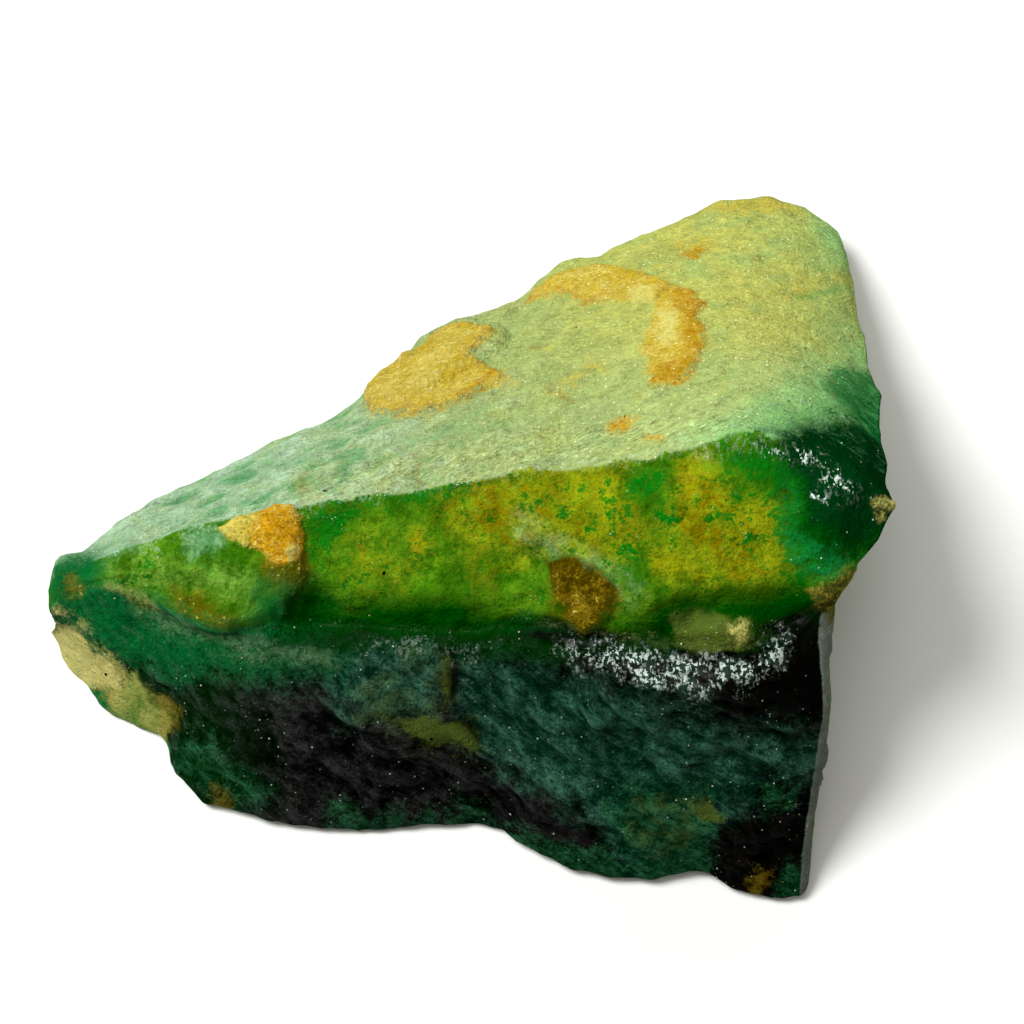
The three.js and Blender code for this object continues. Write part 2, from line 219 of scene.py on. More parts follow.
def scallop(x, y, z):
    """Squared distance to the nearest of a set of scattered points, one to each unit of space, less
    its mean: lowest in the middle of a bowl, rising to a sharp border where two bowls meet."""
    i, j, k = np.floor(x), np.floor(y), np.floor(z)
    nearest = np.full(x.shape, np.inf)
    for step in range(27):
        a, b, c = i + step % 3 - 1, j + step // 3 % 3 - 1, k + step // 9 - 1
        dx = a + lattice_value(a, b, c) - x
        dy = b + lattice_value(a + 17, b, c) - y
        dz = c + lattice_value(a, b + 31, c) - z
        nearest = np.minimum(nearest, dx * dx + dy * dy + dz * dz)
    return nearest - SCALLOP["mean"]


def turned(first, second, degrees):
    """Two coordinates turned by an angle: along the turned grain, and across it."""
    angle = math.radians(degrees)
    return (
        first * math.cos(angle) + second * math.sin(angle),
        second * math.cos(angle) - first * math.sin(angle),
    )


def spline(points, shares):
    """A smooth curve through the points, read at equal shares of its length. Each span is a cubic
    whose end slopes follow the centripetal Catmull-Rom rule, with knots the square root of the
    distance apart."""
    p = np.array(points, float)
    p = np.vstack([2 * p[0] - p[1], p, 2 * p[-1] - p[-2]])
    knot = np.sqrt(np.linalg.norm(np.diff(p, axis=0), axis=1))[:, None]
    before, here, after = knot[:-2], knot[1:-1], knot[2:]
    a, b, c, d = p[:-3], p[1:-2], p[2:-1], p[3:]
    leave = ((b - a) / before - (c - a) / (before + here) + (c - b) / here) * here
    arrive = ((c - b) / here - (d - b) / (here + after) + (d - c) / after) * here
    t = np.linspace(0, 1, SPAN_STEPS, endpoint=False)[:, None, None]
    spans = (
        b * (2 * t**3 - 3 * t**2 + 1) + leave * (t**3 - 2 * t**2 + t)
        + c * (3 * t**2 - 2 * t**3) + arrive * (t**3 - t**2)
    )
    fine = np.vstack([spans.transpose(1, 0, 2).reshape(-1, 3), c[-1]])
    length = np.concatenate([[0], np.cumsum(np.linalg.norm(np.diff(fine, axis=0), axis=1))])
    return np.stack([np.interp(shares * length[-1], length, fine[:, axis]) for axis in range(3)], 1)


# ---------------------------------------------------------------- the skin


def smooth_skin(along, around):
    """The skin before its relief, and the direction that relief stands in, for arrays of shares.

    A section has one corner on each edge line and straight sides between them, and each point is the
    weighted mean of five neighbours round the section, which softens the corners. Towards both ends
    the section shrinks onto a pole as a dome: its width follows a sine, its depth a power. Relief
    stands away from the middle of the section's corners."""
    body = np.clip((along - LEFT_CAP) / (1 - LEFT_CAP - RIGHT_CAP), 0, 1)
    corners = np.stack([spline(points, body) for _, points in LINES.values()], 1)
    heart = corners.mean(1)
    heart[:, 0] = np.minimum(heart[:, 0], RIGHT_POLE[0] - HEART_INSET)
    corners = np.concatenate([corners, corners[:, :1]], 1)
    turns = np.array([turn for turn, _ in LINES.values()] + [1.0])
    ring = 0
    weights = (1, 4, 6, 4, 1)
    for step, weight in zip(range(-2, 3), weights):
        turn = (around + step * EDGE_ROUNDING / 2) % 1
        following = np.searchsorted(turns, turn, side="right")
        share = ((turn - turns[following - 1]) / (turns[following] - turns[following - 1]))[:, None]
        side = corners[:, following - 1] * (1 - share) + corners[:, following] * share
        ring = ring + weight / sum(weights) * side
    skin = ring.copy()
    for pole, opening in ((LEFT_POLE, along / LEFT_CAP), (RIGHT_POLE, (1 - along) / RIGHT_CAP)):
        opening = np.clip(opening, 0, 1)[:, None]
        inside = opening[:, 0] < 1
        spread, depth = np.sin(opening * np.pi / 2), opening**CAP_FLATNESS
        for axis, share in ((0, depth), (1, spread), (2, spread)):
            domed = pole[axis] + (ring[..., axis] - pole[axis]) * share
            skin[inside, :, axis] = domed[inside]
    outward = skin - heart[:, None]
    return skin, outward / np.linalg.norm(outward, axis=2, keepdims=True)


def patch_distance(point, centre, reach, turn):
    """Distance from a patch's centre in its own half sizes, so that it is 1 on the patch's border."""
    dx, dy, dz = (point[..., axis] - centre[axis] for axis in range(3))
    along, across = turned(dx, dy, turn)
    return np.sqrt((along / reach[0]) ** 2 + (across / reach[1]) ** 2 + (dz / reach[2]) ** 2)


def topness(x, y, z):
    """1 on the wide sloping top, falling to 0 at the ridge, the back wall and the right face."""
    rise = smooth(*TOP_BORDERS["ridge"], y) * smooth(*TOP_BORDERS["back wall"], z)
    return rise * fall(*TOP_BORDERS["right face"], x)


def frontness(y, z):
    """1 on the steep front, falling to 0 on the band above it."""
    return fall(*FRONT_BORDERS["band"], y) * fall(*FRONT_BORDERS["height"], z)


def broad_relief(point):
    """Swells, chatter, scallops, ribs on the front and patches, as one height in millimetres. The
    numbers added inside the noises keep them out of step."""
    x, y, z = point[..., 0], point[..., 1], point[..., 2]
    size, height = SWELL["size"], SWELL["height"]
    total = height * noise(x / size, y / size, z / size)
    size, height = CHATTER["size"], CHATTER["height"]
    total += height * noise(x / size + 7, y / size, z / size)
    size, height = SCALLOP["size"], SCALLOP["height"]
    bowl = scallop(x / size, y / size, z / size)
    total += height * bowl * (1 - (1 - SCALLOP["on_top"]) * topness(x, y, z))
    size, height = RIB["size"], RIB["height"]
    along, across = turned(x, z, -RIB["slant"])
    ribs = noise(along / (size * RIB["stretch"]) + 3, y / size, across / size)
    total += height * ribs * frontness(y, z)
    for centre, reach, turn, edge, lift in PATCHES.values():
        distance = patch_distance(point, centre, reach, turn)
        total += lift * smooth(0, 1, (1 + edge / 2 - distance) / edge)
    return total


def grid_normals(skin, outward):
    """Unit normals of a grid that closes on itself round each section: the cross product of its two
    directions, turned away from the heart and leant a little towards the outward direction."""
    along = np.gradient(skin, axis=0)
    around = np.roll(skin, -1, axis=1) - np.roll(skin, 1, axis=1)
    normal = np.cross(along, around)
    normal /= np.linalg.norm(normal, axis=2, keepdims=True) + 1e-9
    normal *= np.sign((normal * outward).sum(2, keepdims=True))
    normal[[0, -1]] = outward[[0, -1]]
    blended = normal + OUTWARD_LEAN * outward
    return blended / np.linalg.norm(blended, axis=2, keepdims=True)


# Small plates and crumbs that stand out of the broken faces: pigment, patch, height and width of the
# edge in millimetres.
LEDGES = [
    ("honey", "plate", 0.55, 0.25), ("honey", "streak", 0.3, 0.25), ("honey", "branch", 0.25, 0.3),
    ("amber", "block", 0.35, 0.3), ("gold", "lower crumbs", 0.3, 0.6), ("chip", "chip", 0.25, 0.4),
    ("gold", "under the block", 0.3, 0.8),
    ("lichen", "slab", 0.35, 0.3), ("gold", "knob", 0.4, 0.4), ("chip", "right chip", 0.3, 0.4),
    ("cream", "boss chip", 0.25, 0.15), ("cream", "right crumb", 0.3, 0.2), ("orange", "block", 0.25, 0.2),
    ("dark_shade", "hollow", -0.25, 0.9),
]


def ledges(depths):
    """Each ledge stands at its full height inside its outline and falls to nothing over its edge."""
    return sum(
        height * smooth(-edge / 2, edge / 2, depths[pigment][name]) for pigment, name, height, edge in LEDGES
    )


def lumps(name, pattern, place, offset=(0, 0, 0)):
    """A fine relief's height times its pattern, read at a place divided by its sizes and moved along."""
    height, sizes = FINE[name]
    return height * pattern(*(axis / size + step for axis, size, step in zip(place, sizes, offset)))


def fine_relief(point, along, around):
    """Crumbly breaks, small chips, short slanting folds and hummocks on the front, dimples and faint
    streaks on the top; and the parts on the front and the top alone. All of it calms down towards
    the right face."""
    x, y, z = point[..., 0], point[..., 1], point[..., 2]
    top = topness(x, y, z)
    front = smooth(*FRONT_RING["start"], around) * fall(*FRONT_RING["end"], around)
    crumble = lumps("crumble", noise, (x, y, z), (0, 0, 5)) + lumps("small crumble", noise, (x, y, z))
    chips = lumps("chips", scallop, (x, y, z), (9, 0, 0))
    wander = lumps("wander", noise, (x, y, z))
    along_front, across_front = turned(x, z, -FRONT_SLANT)
    slope = (along_front, y, across_front)
    folds = lumps("folds", noise, slope, (0, 0, wander)) + lumps("small folds", noise, slope, (0, 0, wander))
    hummocks = lumps("hummocks", scallop, slope, (0, 0, wander))
    grain = (*turned(x, y, TOP_SLANT), z)
    dimples = lumps("dimples", scallop, grain, (wander, 0, 0))
    streaks = lumps("streaks", noise, grain) + lumps("small streaks", noise, grain)
    rough = 1 - QUIET["right of top"] * smooth(*ROUGH_TOP, x)
    crests = (folds + hummocks) * front + (dimples + streaks) * rough * top
    crumble = crumble * (1 - QUIET["crumble on top"] * top)
    chips = chips * (1 - QUIET["chips on top"] * top) * (1 - QUIET["chips on front"] * front)
    calm_from, calm_to = (1 - share * RIGHT_CAP for share in QUIET_RIM)
    calm = 1 - QUIET["right face"] * smooth(calm_from, calm_to, along)
    return (crumble + chips + crests) * calm, crests


def stone_skin():
    """The finished skin in millimetres, with its fields.

    The smooth skin is pushed out by the broad relief, then along its own normals by the ledges and
    the fine relief, and is cut flat at the ground by raising whatever lies below it."""
    along = np.linspace(0, 1, STEPS_ALONG + 1)
    around = np.arange(STEPS_AROUND) / STEPS_AROUND
    plain, outward = smooth_skin(along, around)
    skin = plain + outward * broad_relief(plain)[..., None]
    depths = patch_depths(skin)
    relief, crests = fine_relief(plain, along[:, None], around)
    skin += grid_normals(skin, outward) * (relief + ledges(depths))[..., None]
    skin[..., 2] = np.maximum(skin[..., 2], 0)
    fields = surface_fields(depths, *np.broadcast_arrays(along[:, None], around))
    return skin, {**fields, "crests": crests}


def closed_mesh(name, grid, fields):
    """A mesh object from a grid whose first and last rows are poles and whose columns close on
    themselves, in metres, with one float attribute for each named field."""
    rings, columns = grid.shape[0] - 2, grid.shape[1]

    def flat(values):
        """The grid as one list, in which each pole is a single entry."""
        body = values[1:-1].reshape(-1, *values.shape[2:])
        return np.concatenate([values[:1, 0], body, values[-1:, 0]])

    vertices = flat(grid)
    ring, column = np.meshgrid(np.arange(rings - 1), np.arange(columns), indexing="ij")
    here = 1 + ring * columns + column
    beside = 1 + ring * columns + (column + 1) % columns
    quads = np.stack([here, here + columns, beside + columns, beside], 2).reshape(-1, 4)
    last = len(vertices) - 1
    rim = 1 + np.arange(columns)
    after = 1 + (np.arange(columns) + 1) % columns
    far = (rings - 1) * columns
    left_fan = np.stack([np.zeros(columns, int), rim, after], 1)
    right_fan = np.stack([np.full(columns, last), after + far, rim + far], 1)
    mesh = bpy.data.meshes.new(name)
    mesh.from_pydata(vertices.tolist(), [], quads.tolist() + left_fan.tolist() + right_fan.tolist())
    mesh.polygons.foreach_set("use_smooth", np.ones(len(mesh.polygons), bool))
    for field, values in fields.items():
        layer = mesh.attributes.new(field, "FLOAT", "POINT")
        layer.data.foreach_set("value", flat(values).astype(np.float32))
    mesh.update()
    piece = bpy.data.objects.new(name, mesh)
    bpy.context.scene.collection.objects.link(piece)
    return piece


# ---------------------------------------------------------------- pigments

# Each pigment fills patches of the stone, given by their outlines seen from above, in millimetres.
# Some of them paint light and shade rather than the stone's colour: glints, sheen, and shade in the
# hollow, on the boss and beside edges.
PIGMENTS = {
    "honey": {
        "plate": [
            (-13.2, 11.2), (-12.2, 14), (-9.2, 16.4), (-7, 19), (-4.4, 19.2), (-1.6, 17.2), (-2.8, 15),
            (-3.8, 13.4), (-2.4, 12), (-0.8, 9.6), (-3.2, 8), (-5.4, 6.8), (-8, 7), (-10, 7.4),
            (-12, 8.8),
        ],
        "streak": [
            (0.5, 22.6), (3.2, 24.8), (4.8, 26), (7, 26.2), (11.3, 23.6), (13.6, 21.2), (12.2, 18.8),
            (9.6, 19.6), (7.2, 20.4), (5.4, 20), (4.8, 21.8), (2.6, 22.4),
        ],
        "branch": [
            (12, 20.4), (13.6, 21.2), (15.2, 19.6), (16, 17.6), (15.5, 14.8), (15.8, 12.2), (15, 10),
            (14.4, 7.4), (13.2, 6.2), (11.4, 6), (10.6, 7.2), (10.5, 10.8), (10.9, 13.8), (12, 17.4),
        ],
        "large spot": [(7.2, 1.9), (8.6, 2.6), (9.9, 2.3), (8.8, 1.2), (7.5, 1.2)],
        "small spot": [(10.4, 0), (11.6, 0.3), (11.8, -0.6), (10.8, -0.8)],
    },
    "amber": {
        "block": [
            (-24.2, -4.5), (-22, -3.7), (-17.5, -3.3), (-17.2, -4.2), (-17.2, -6.2), (-17.8, -7.3),
            (-18.8, -7.8), (-19.8, -7.2), (-21.1, -6.3), (-23.2, -5.7),
        ],
    },
    "gold": {
        "lower crumbs": [
            (-27.6, -9.1), (-25.4, -9.1), (-23.7, -10.4), (-22.5, -11.6), (-22.9, -12.2), (-24.7, -11.9),
            (-26.9, -10.8),
        ],
        "under the block": [
            (-20, -7.4), (-17.6, -7.3), (-16.8, -7.9), (-17.8, -9.6), (-18.2, -10.7), (-19.1, -10.9),
            (-19.3, -10.5), (-18.9, -9.2), (-20, -8.3),
        ],
        "knob": [(11.6, -14.4), (13.9, -14.3), (15.9, -14.5), (18.6, -15.2), (15.5, -16.8), (12.6, -16.2)],
        "chip": [(2.9, -12), (4.6, -11.6), (7.8, -12), (7.4, -13), (5.4, -14.2), (4, -13.5)],
        "branch": [
            (10.8, 12), (12.6, 12), (15, 14), (15.6, 11), (14.4, 7.4), (12.6, 6), (11, 6.2), (10.6, 8.4),
        ],
        "plate": [(-5, 9.4), (-2.6, 10.8), (-1, 10.4), (-3, 7.6), (-6.4, 6.6), (-6, 8)],
        "left tip": [(-37, -8), (-35.6, -7), (-34.6, -8), (-35.6, -9.4)],
    },
    "orange": {
        "block": [
            (-20.2, -5), (-18, -4.2), (-17.2, -4.2), (-17.2, -6.5), (-18.1, -6.9), (-19, -7.1), (-20, -6.2),
        ],
        "border of the branch": [
            (13.4, 20), (15.2, 19.4), (15.8, 16), (15.2, 11), (14.4, 7.6), (13, 6.4), (11.2, 6.4),
            (11.4, 8.2), (13.4, 9.6), (13.8, 14), (13.8, 17.6),
        ],
        "plate spots": [(-4.6, 8.4), (-3, 9.2), (-1.4, 10.6), (-2.4, 8.4), (-4.4, 7.2)],
        "large spot": [(7.4, 2), (8.4, 2.3), (8.6, 1.4), (7.6, 1.4)],
        "reddish spot": [(15.2, 26.9), (16.2, 27.5), (17.2, 27), (17, 25.8), (15.8, 25.6)],
        "flank spot": [(-35.6, -11.8), (-33.8, -13), (-34, -13.7), (-35.2, -13)],
    },
    "haze": {
        "beside the plate": [(-2.8, 12), (-0.6, 11), (0.4, 8.4), (-2.2, 7.4)],
        "two spots": [(2.9, 7.2), (4, 7.2), (3.9, 6), (3, 6)],
        "far spot": [(1.4, 14.4), (2.9, 14.1), (2.6, 13.2)],
        "reddish": [(14.2, 29), (17, 28.8), (18.2, 27), (16.6, 25), (14.6, 26.4)],
        "line": [(22.5, 19), (30, 25.6), (30, 23.8), (23, 17.6)],
        "middle": [(2.7, 8.2), (6.3, 10.4), (7.4, 9.6), (4.9, 6.8)],
        "back edge": [(17, 33.5), (20, 36), (25, 36.5), (26, 32.6), (20, 31.6)],
    },
    "sea": {
        "boss top": [
            (14, -1.4), (17.9, 1.4), (21, 3.8), (24.6, 7.6), (28.4, 11.6), (33, 16), (36, 10), (36, -16),
            (24, -14), (15, -8),
        ],
    },
    "edge": {
        "beside the boss": [(25.6, 7.8), (27.3, 9.8), (33, 13), (33, -1), (27.2, 3.4), (25.6, 4.9)],
    },
    "wisp": {
        "over the boss": [
            (17.4, 0.7), (20.5, 1.4), (23.8, 1.1), (26.8, 0.8), (29.4, -0.2), (29.6, -2.1), (26.9, -1.4),
            (23.6, -0.5), (19.9, -0.8), (17.3, -0.7),
        ],
    },
    "crease": {
        "right crease": [
            (23.5, 18.7), (26, 20.5), (28, 21.7), (29.7, 23.2), (29.7, 22.3), (28, 20.6), (25.9, 19.4),
            (23.8, 18),
        ],
    },
    "leaf": {
        "right corner": [(27.4, 32.4), (30.4, 33), (33, 29.2), (33, 25), (29, 24.6), (28, 27.6)],
        "right edge": [(29.8, 17), (33, 17), (33, 10), (28.4, 9.6)],
    },
    "mustard": {
        "left": [
            (-14.9, -6.3), (-12.9, -5.3), (-10.1, -4.9), (-7.3, -4.8), (-6.5, -8.2), (-8.9, -10.1),
            (-13, -9), (-14.6, -7.8),
        ],
        "middle": [
            (-6.5, -4.2), (-4.5, -3), (0.6, -2.4), (3.8, -2.4), (6.9, -2.4), (8.8, -2.6), (8.4, -5.7),
            (9.9, -8.1), (8.4, -9.8), (3.8, -9), (-0.9, -8.6), (-4.9, -7.4),
        ],
        "right": [
            (12.5, -3.2), (13.8, -2.6), (15.3, -2.4), (15.4, -4.5), (16.6, -5.3), (17, -6.8),
            (17.9, -6.3), (20, -6.2), (20.6, -7.6), (21, -9.6), (21.4, -11.4), (19.1, -12),
            (16.1, -11.8), (14.5, -10.4), (12.4, -9.4), (11.4, -7.6), (12, -6.2),
        ],
        "low": [(9.9, -8.3), (12.4, -9.2), (14.5, -10.2), (16.1, -11.8), (13.8, -12.3), (10.7, -11)],
    },
    "bottle": {
        "left of the ridge": [
            (-17.3, -4), (-15.4, -3.4), (-10.8, -3.6), (-12.9, -5.2), (-14.9, -6.3), (-16.8, -8.4),
        ],
        "along the ridge": [
            (-10.8, -3.6), (-8.9, -3.4), (-6.5, -3.2), (-3.3, -2.8), (-3.5, -3.9), (-5.7, -4.4),
            (-8.1, -4.8), (-10.1, -5.1),
        ],
        "blot a": [(3.2, -5.2), (3.7, -5), (4.3, -5.8), (4.1, -6.4), (3.4, -6.2)],
        "blot b": [(5.5, -6.7), (6.4, -6.4), (7.1, -7.1), (6.7, -8), (5.8, -7.6)],
        "blot c": [(6.7, -8.1), (7.8, -7.7), (8.6, -8.3), (8.4, -9.1), (7, -8.8)],
        "blot d": [(8.4, -3.7), (10, -3.1), (11.5, -3.8), (11.9, -5.4), (11.1, -6.3), (9.8, -6), (8.4, -5.3)],
        "blot e": [(10.9, -6.7), (12.3, -6.4), (13.3, -7.2), (12.6, -7.8), (11.1, -7.6)],
        "blot f": [(8.1, -9.5), (9.3, -9.4), (10, -10.5), (9.3, -11.6), (8, -11)],
        "blot g": [(16.2, -6), (17.3, -5.9), (17.5, -7), (16.4, -7)],
        "blot h": [(17.6, -9.1), (19, -9), (18.9, -10), (17.8, -10.1)],
        "boss": [
            (15.4, -2), (17.6, -2), (21.3, -2.4), (24.4, -4), (27, -5), (30, -6), (31.5, -8),
            (29.5, -9.8), (25.8, -11), (22.2, -12.8), (20.3, -11.6), (19.7, -10.3), (20, -9.3),
            (19.8, -7.9), (19.4, -6.5), (18.5, -5.6), (17.4, -5), (16.5, -3.9),
        ],
    },
    "rust": {
        "vein d": [(-7.5, -4), (-7.2, -3.9), (-6, -5.4), (-4.9, -7.3), (-5.2, -7.4), (-6.4, -5.7)],
        "vein a": [(-7.2, -3.8), (-6.4, -3.8), (-4.8, -6.6), (-5.5, -7)],
        "vein b": [(-2.1, -3.2), (-1.3, -3.2), (-1.2, -7), (-1.9, -7)],
        "zone": [(1.9, -2.6), (3.9, -2.5), (4.1, -5.7), (3, -5.9), (2.2, -4.6)],
        "vein c": [(12, -2.6), (12.8, -2.6), (12.5, -4.6), (13.3, -6.7), (12.6, -7), (11.7, -4.9)],
        "mottle": [(7.6, -6.2), (10.3, -6.3), (11.5, -7.6), (11.1, -8.5), (8.4, -8.2)],
        "low": [(-4.8, -8.4), (-2.5, -7.6), (-1, -8.8), (-1.5, -11), (-4.1, -11.1)],
        "under the block": [(-20.5, -7.6), (-17, -8), (-16.6, -9.2), (-18.2, -10.8), (-19.4, -10.6)],
    },
    "chip": {
        "chip": [
            (2.6, -9.2), (4.1, -9.4), (6.1, -10.4), (7.7, -12), (7.5, -12.8), (6.3, -13.8), (5.4, -14.1),
            (4.4, -13.5), (3.6, -12.7), (2.9, -11.4),
        ],
        "right chip": [
            (22.5, -12.6), (23.4, -12.1), (24.6, -11.4), (25.9, -10.6), (27, -10.4), (27, -13.2),
            (24.6, -13.6), (23.8, -13.3), (22.9, -13.2),
        ],
    },
    # a black patch on the right front
    "right_black": {
        "right front": [
            (19.2, -14.3), (21.6, -13.6), (23.6, -13.7), (26, -15.6), (26, -18.1), (25, -19.5),
            (21.8, -19.2), (17.8, -19.6), (14.6, -19.5), (16.9, -18.9), (19.2, -17.9), (20.2, -16.2),
        ],
    },
    "ivory": {
        "flank": [
            (-39.8, -8), (-37.6, -8.6), (-35.8, -10.2), (-33.9, -11.7), (-32.1, -13.2), (-33.4, -13.8),
            (-35.4, -12.8), (-39.8, -11),
        ],
    },
    "boss": {
        "shade": [
            (19.1, -2.2), (21.6, -0.9), (25.1, 1.1), (28.9, 2.6), (36, 1), (36, -8), (28.8, -8.1),
            (26, -9.5), (23, -8.8), (22.1, -7), (21.5, -5.1), (20.5, -3.5),
        ],
    },
    # dark green, partly painted shade, in the hollow under the rim and on the boss's face; the hollow's
    # outline also sinks its ledge
    "dark_shade": {
        "hollow": [
            (-18.3, -10.2), (-16.2, -8.8), (-13.8, -10.2), (-10.5, -10.5), (-5.6, -11.1), (-1.7, -12.4),
            (1.7, -13.7), (3.8, -14.4), (6.9, -14.6), (10, -13.8), (11.5, -12.8), (16.1, -12.5),
            (20.7, -12.2), (24, -12.6), (24, -15), (20, -16), (14.6, -15.6), (11.6, -16), (3.8, -16),
            (0.6, -15.7), (-6.5, -15), (-13.7, -14.6), (-17.4, -14), (-19.6, -12.4),
        ],
        "boss": [
            (22.6, -4.6), (26, -5.2), (30, -7), (30.5, -9), (26, -10.2), (23.2, -10.4), (22.1, -8.8),
            (22.3, -6.7),
        ],
    },
    # painted sheen: pale streaks on the band and the left front
    "sheen_streaks": {
        "band": [
            (0.2, -5.6), (2.6, -7.2), (6.1, -9.6), (9.7, -11.8), (8.8, -12.4), (5.7, -11.1), (2.2, -8.7),
            (0, -6.9),
        ],
        "left front": [
            (-31.1, -9.1), (-26.8, -11.2), (-21.9, -12.7), (-14.6, -14.4), (-14.5, -15.1),
            (-22, -13.7), (-27.8, -11.7), (-31.1, -9.8),
        ],
    },
    "sheen": {
        "above the ridge": [
            (-30, -4.6), (-16, -2.8), (-2, -2.2), (12, -1.4), (20, -1.2), (17, 1.6), (8, 2.4),
            (-4, 1.6), (-16, 0.2), (-28, -3),
        ],
    },
    "teal": {
        "left": [
            (-37.6, -7.4), (-33.6, -9), (-26.9, -11), (-21.1, -12.8), (-16.2, -13.4), (-6.5, -14),
            (-5.7, -15.2), (-5.7, -17), (-7.6, -18.5), (-13.8, -18.7), (-14.8, -17.2), (-15.8, -15.6),
            (-20, -15), (-24.2, -14.1), (-28, -14.8), (-30.8, -13.1), (-35.5, -9.9),
        ],
        "middle": [
            (-4.9, -14.4), (-1.2, -15.5), (2, -16), (4.5, -17.1), (6.6, -18.6), (9.5, -19.3),
            (12.4, -20.1), (15.6, -20.6), (19.9, -21.2), (24.6, -21), (24.2, -22.9), (19.7, -23.5),
            (19, -25), (15.1, -26.6), (14.5, -28.5), (8.8, -29), (7.1, -26.4), (3.9, -24.5),
            (-1, -21.6), (-2.9, -20.2), (-5, -18.7),
        ],
        "boss edge": [(20, -11.6), (23, -10.4), (27, -10), (26, -11.6), (22.4, -13)],
    },
    "green": {
        "above the left front": [
            (-37, -7.6), (-31.9, -9.2), (-26.1, -11.8), (-20.3, -13.4), (-14.5, -14.6), (-14.5, -15.6),
            (-22, -14.7), (-28.7, -13.2), (-33.9, -11.5), (-36.6, -9.4),
        ],
        "left tip": [(-38, -6.2), (-36.2, -4.8), (-34.6, -5.8), (-34, -7.2), (-35.4, -8), (-38, -8)],
        "beyond the left band": [(-20.4, -10), (-17.6, -9.2), (-14.4, -11), (-17, -13.4), (-21, -12.6)],
    },
    "moss": {
        "low middle": [
            (7.3, -24.1), (11, -23.7), (15.9, -24.3), (16, -26.6), (14.9, -29.6), (10.4, -29.6),
            (7.9, -27.6),
        ],
        "right dab": [(19.4, -24.9), (20.9, -24), (22.2, -23.8), (21.8, -24.9), (20.2, -25.5)],
        "left foot": [
            (-27.6, -18), (-24.5, -18.6), (-23.5, -20.4), (-20, -22.4), (-22.5, -23.6), (-25.7, -22),
            (-28.4, -20.3),
        ],
        "toe": [(-15.4, -23.4), (-13, -23.4), (-13.6, -24.6), (-15, -24.6)],
        "toe line": [
            (-13.5, -24.2), (-2.6, -24), (0.7, -25.8), (3.9, -27.2), (8.8, -28.4), (15.3, -28.4),
            (15, -31), (8, -31), (2, -28.4), (-2.6, -26.4), (-13.5, -26),
        ],
        "right foot": [(22, -28.8), (24.5, -28.4), (24.5, -31.6), (21, -31.6)],
    },
    "olive": {
        "tongue": [
            (-9.5, -18.8), (-6.6, -18.6), (-4.5, -18.8), (-3, -19.6), (-3.1, -20.2), (-5.3, -20),
            (-7.1, -19.9), (-9.5, -19.5),
        ],
        "slab edge": [(-6, -14.9), (-5.5, -14.9), (-5.3, -15.9), (-5.4, -17.2), (-5.8, -17.6), (-6.1, -16.4)],
        "low spot": [(13.7, -25), (15.4, -24.9), (16.6, -25.8), (15.1, -26)],
        "knob": [
            (12, -13.8), (14, -13.5), (16, -13.8), (18.4, -14.4), (18.4, -15.6), (15.5, -16.1), (12.8, -15.6),
        ],
    },
    "lichen": {
        "slab": [
            (-13.4, -18.3), (-12.4, -16.6), (-9.6, -15.2), (-6.3, -14.9), (-5.4, -15.2), (-5.3, -17.5),
            (-3.5, -19.5), (-3, -20.4), (-5.8, -20.1), (-9.8, -19.8),
        ],
        "low middle": [(8.5, -25), (12, -24.6), (15.4, -25.4), (14, -27.4), (10, -27.4)],
    },
    # painted shadow: a black line beside the slab's edge and above the tongue
    "dark_line": {
        "beside the slab": [
            (-5.5, -14.5), (-5.1, -14.6), (-4.9, -15.9), (-5.1, -17.4), (-5.5, -17.5), (-5.3, -15.9),
        ],
        "above the tongue": [
            (-5.8, -18.4), (-4.5, -18.6), (-3.5, -19), (-2.7, -19.8), (-3, -20), (-3.9, -19.2),
            (-4.8, -18.9), (-5.8, -18.7),
        ],
    },
    "umber": {
        "dark_line": [(-17.5, -3.4), (-17.2, -3.4), (-17, 1.4), (-17.3, 1.4)],
        "crack above the vein": [(-8.2, -3), (-7.8, -3), (-7.9, 0.6), (-8.2, 0.8)],
        "smudge a": [(-8.4, 16.6), (-7, 17.2), (-7.2, 16.2)],
        "smudge b": [(1, 14.2), (2.2, 14.5), (2, 13.9)],
        "smudge c": [(2.6, 7.2), (3.6, 7.2), (3.4, 6.6)],
        "smudge d": [(3.6, 6), (4.8, 5.9), (4.2, 5.1)],
        "smudge e": [(21, 22.4), (22, 22.8), (22, 22)],
        # partly painted shadow: a brown line along the block's right edge
        "rim of the block": [(-17.9, -3.8), (-17.4, -3.8), (-17.3, -5.4), (-17.4, -7.3), (-17.7, -7.4)],
        "brown spot": [(21.4, 25.1), (22.2, 25.1), (22.1, 24), (21.2, 23.9)],
    },
    "lime": {
        "flank": [
            (-33.9, -13.2), (-31.3, -13.8), (-30, -14.8), (-28.3, -16.6), (-29.1, -17.6), (-32, -16.4),
            (-34, -15),
        ],
        "left band": [
            (-34.6, -6.9), (-32.6, -6), (-27.5, -6.6), (-23.6, -6.8), (-20.6, -8), (-19.8, -9.9),
            (-20.6, -11.3), (-23, -10.8), (-25.9, -9.4), (-29.3, -9.6), (-32.7, -8.6),
        ],
    },
    "cream": {
        # a painted glint
        "glint on the block": [(-18.5, -6.6), (-18, -6.5), (-17.9, -7), (-18.3, -7.1)],
        "branch": [(12.2, 16.9), (13.5, 17.6), (13.3, 12.1), (12.4, 10.9), (11.2, 12.8)],
        "bright spot": [(9.8, 21.2), (11.2, 21.2), (11.9, 19.1), (10.3, 18.4)],
        "knob": [(16.3, -14.6), (17.5, -14.3), (18.1, -14.9), (17.2, -15.3)],
        "join": [(10.1, 21.3), (12, 21.1), (12.1, 19), (10.5, 18.8)],
        "boss chip": [(27.5, -6.7), (28.1, -6.4), (29.4, -6.3), (29.4, -6.8), (28.4, -6.9)],
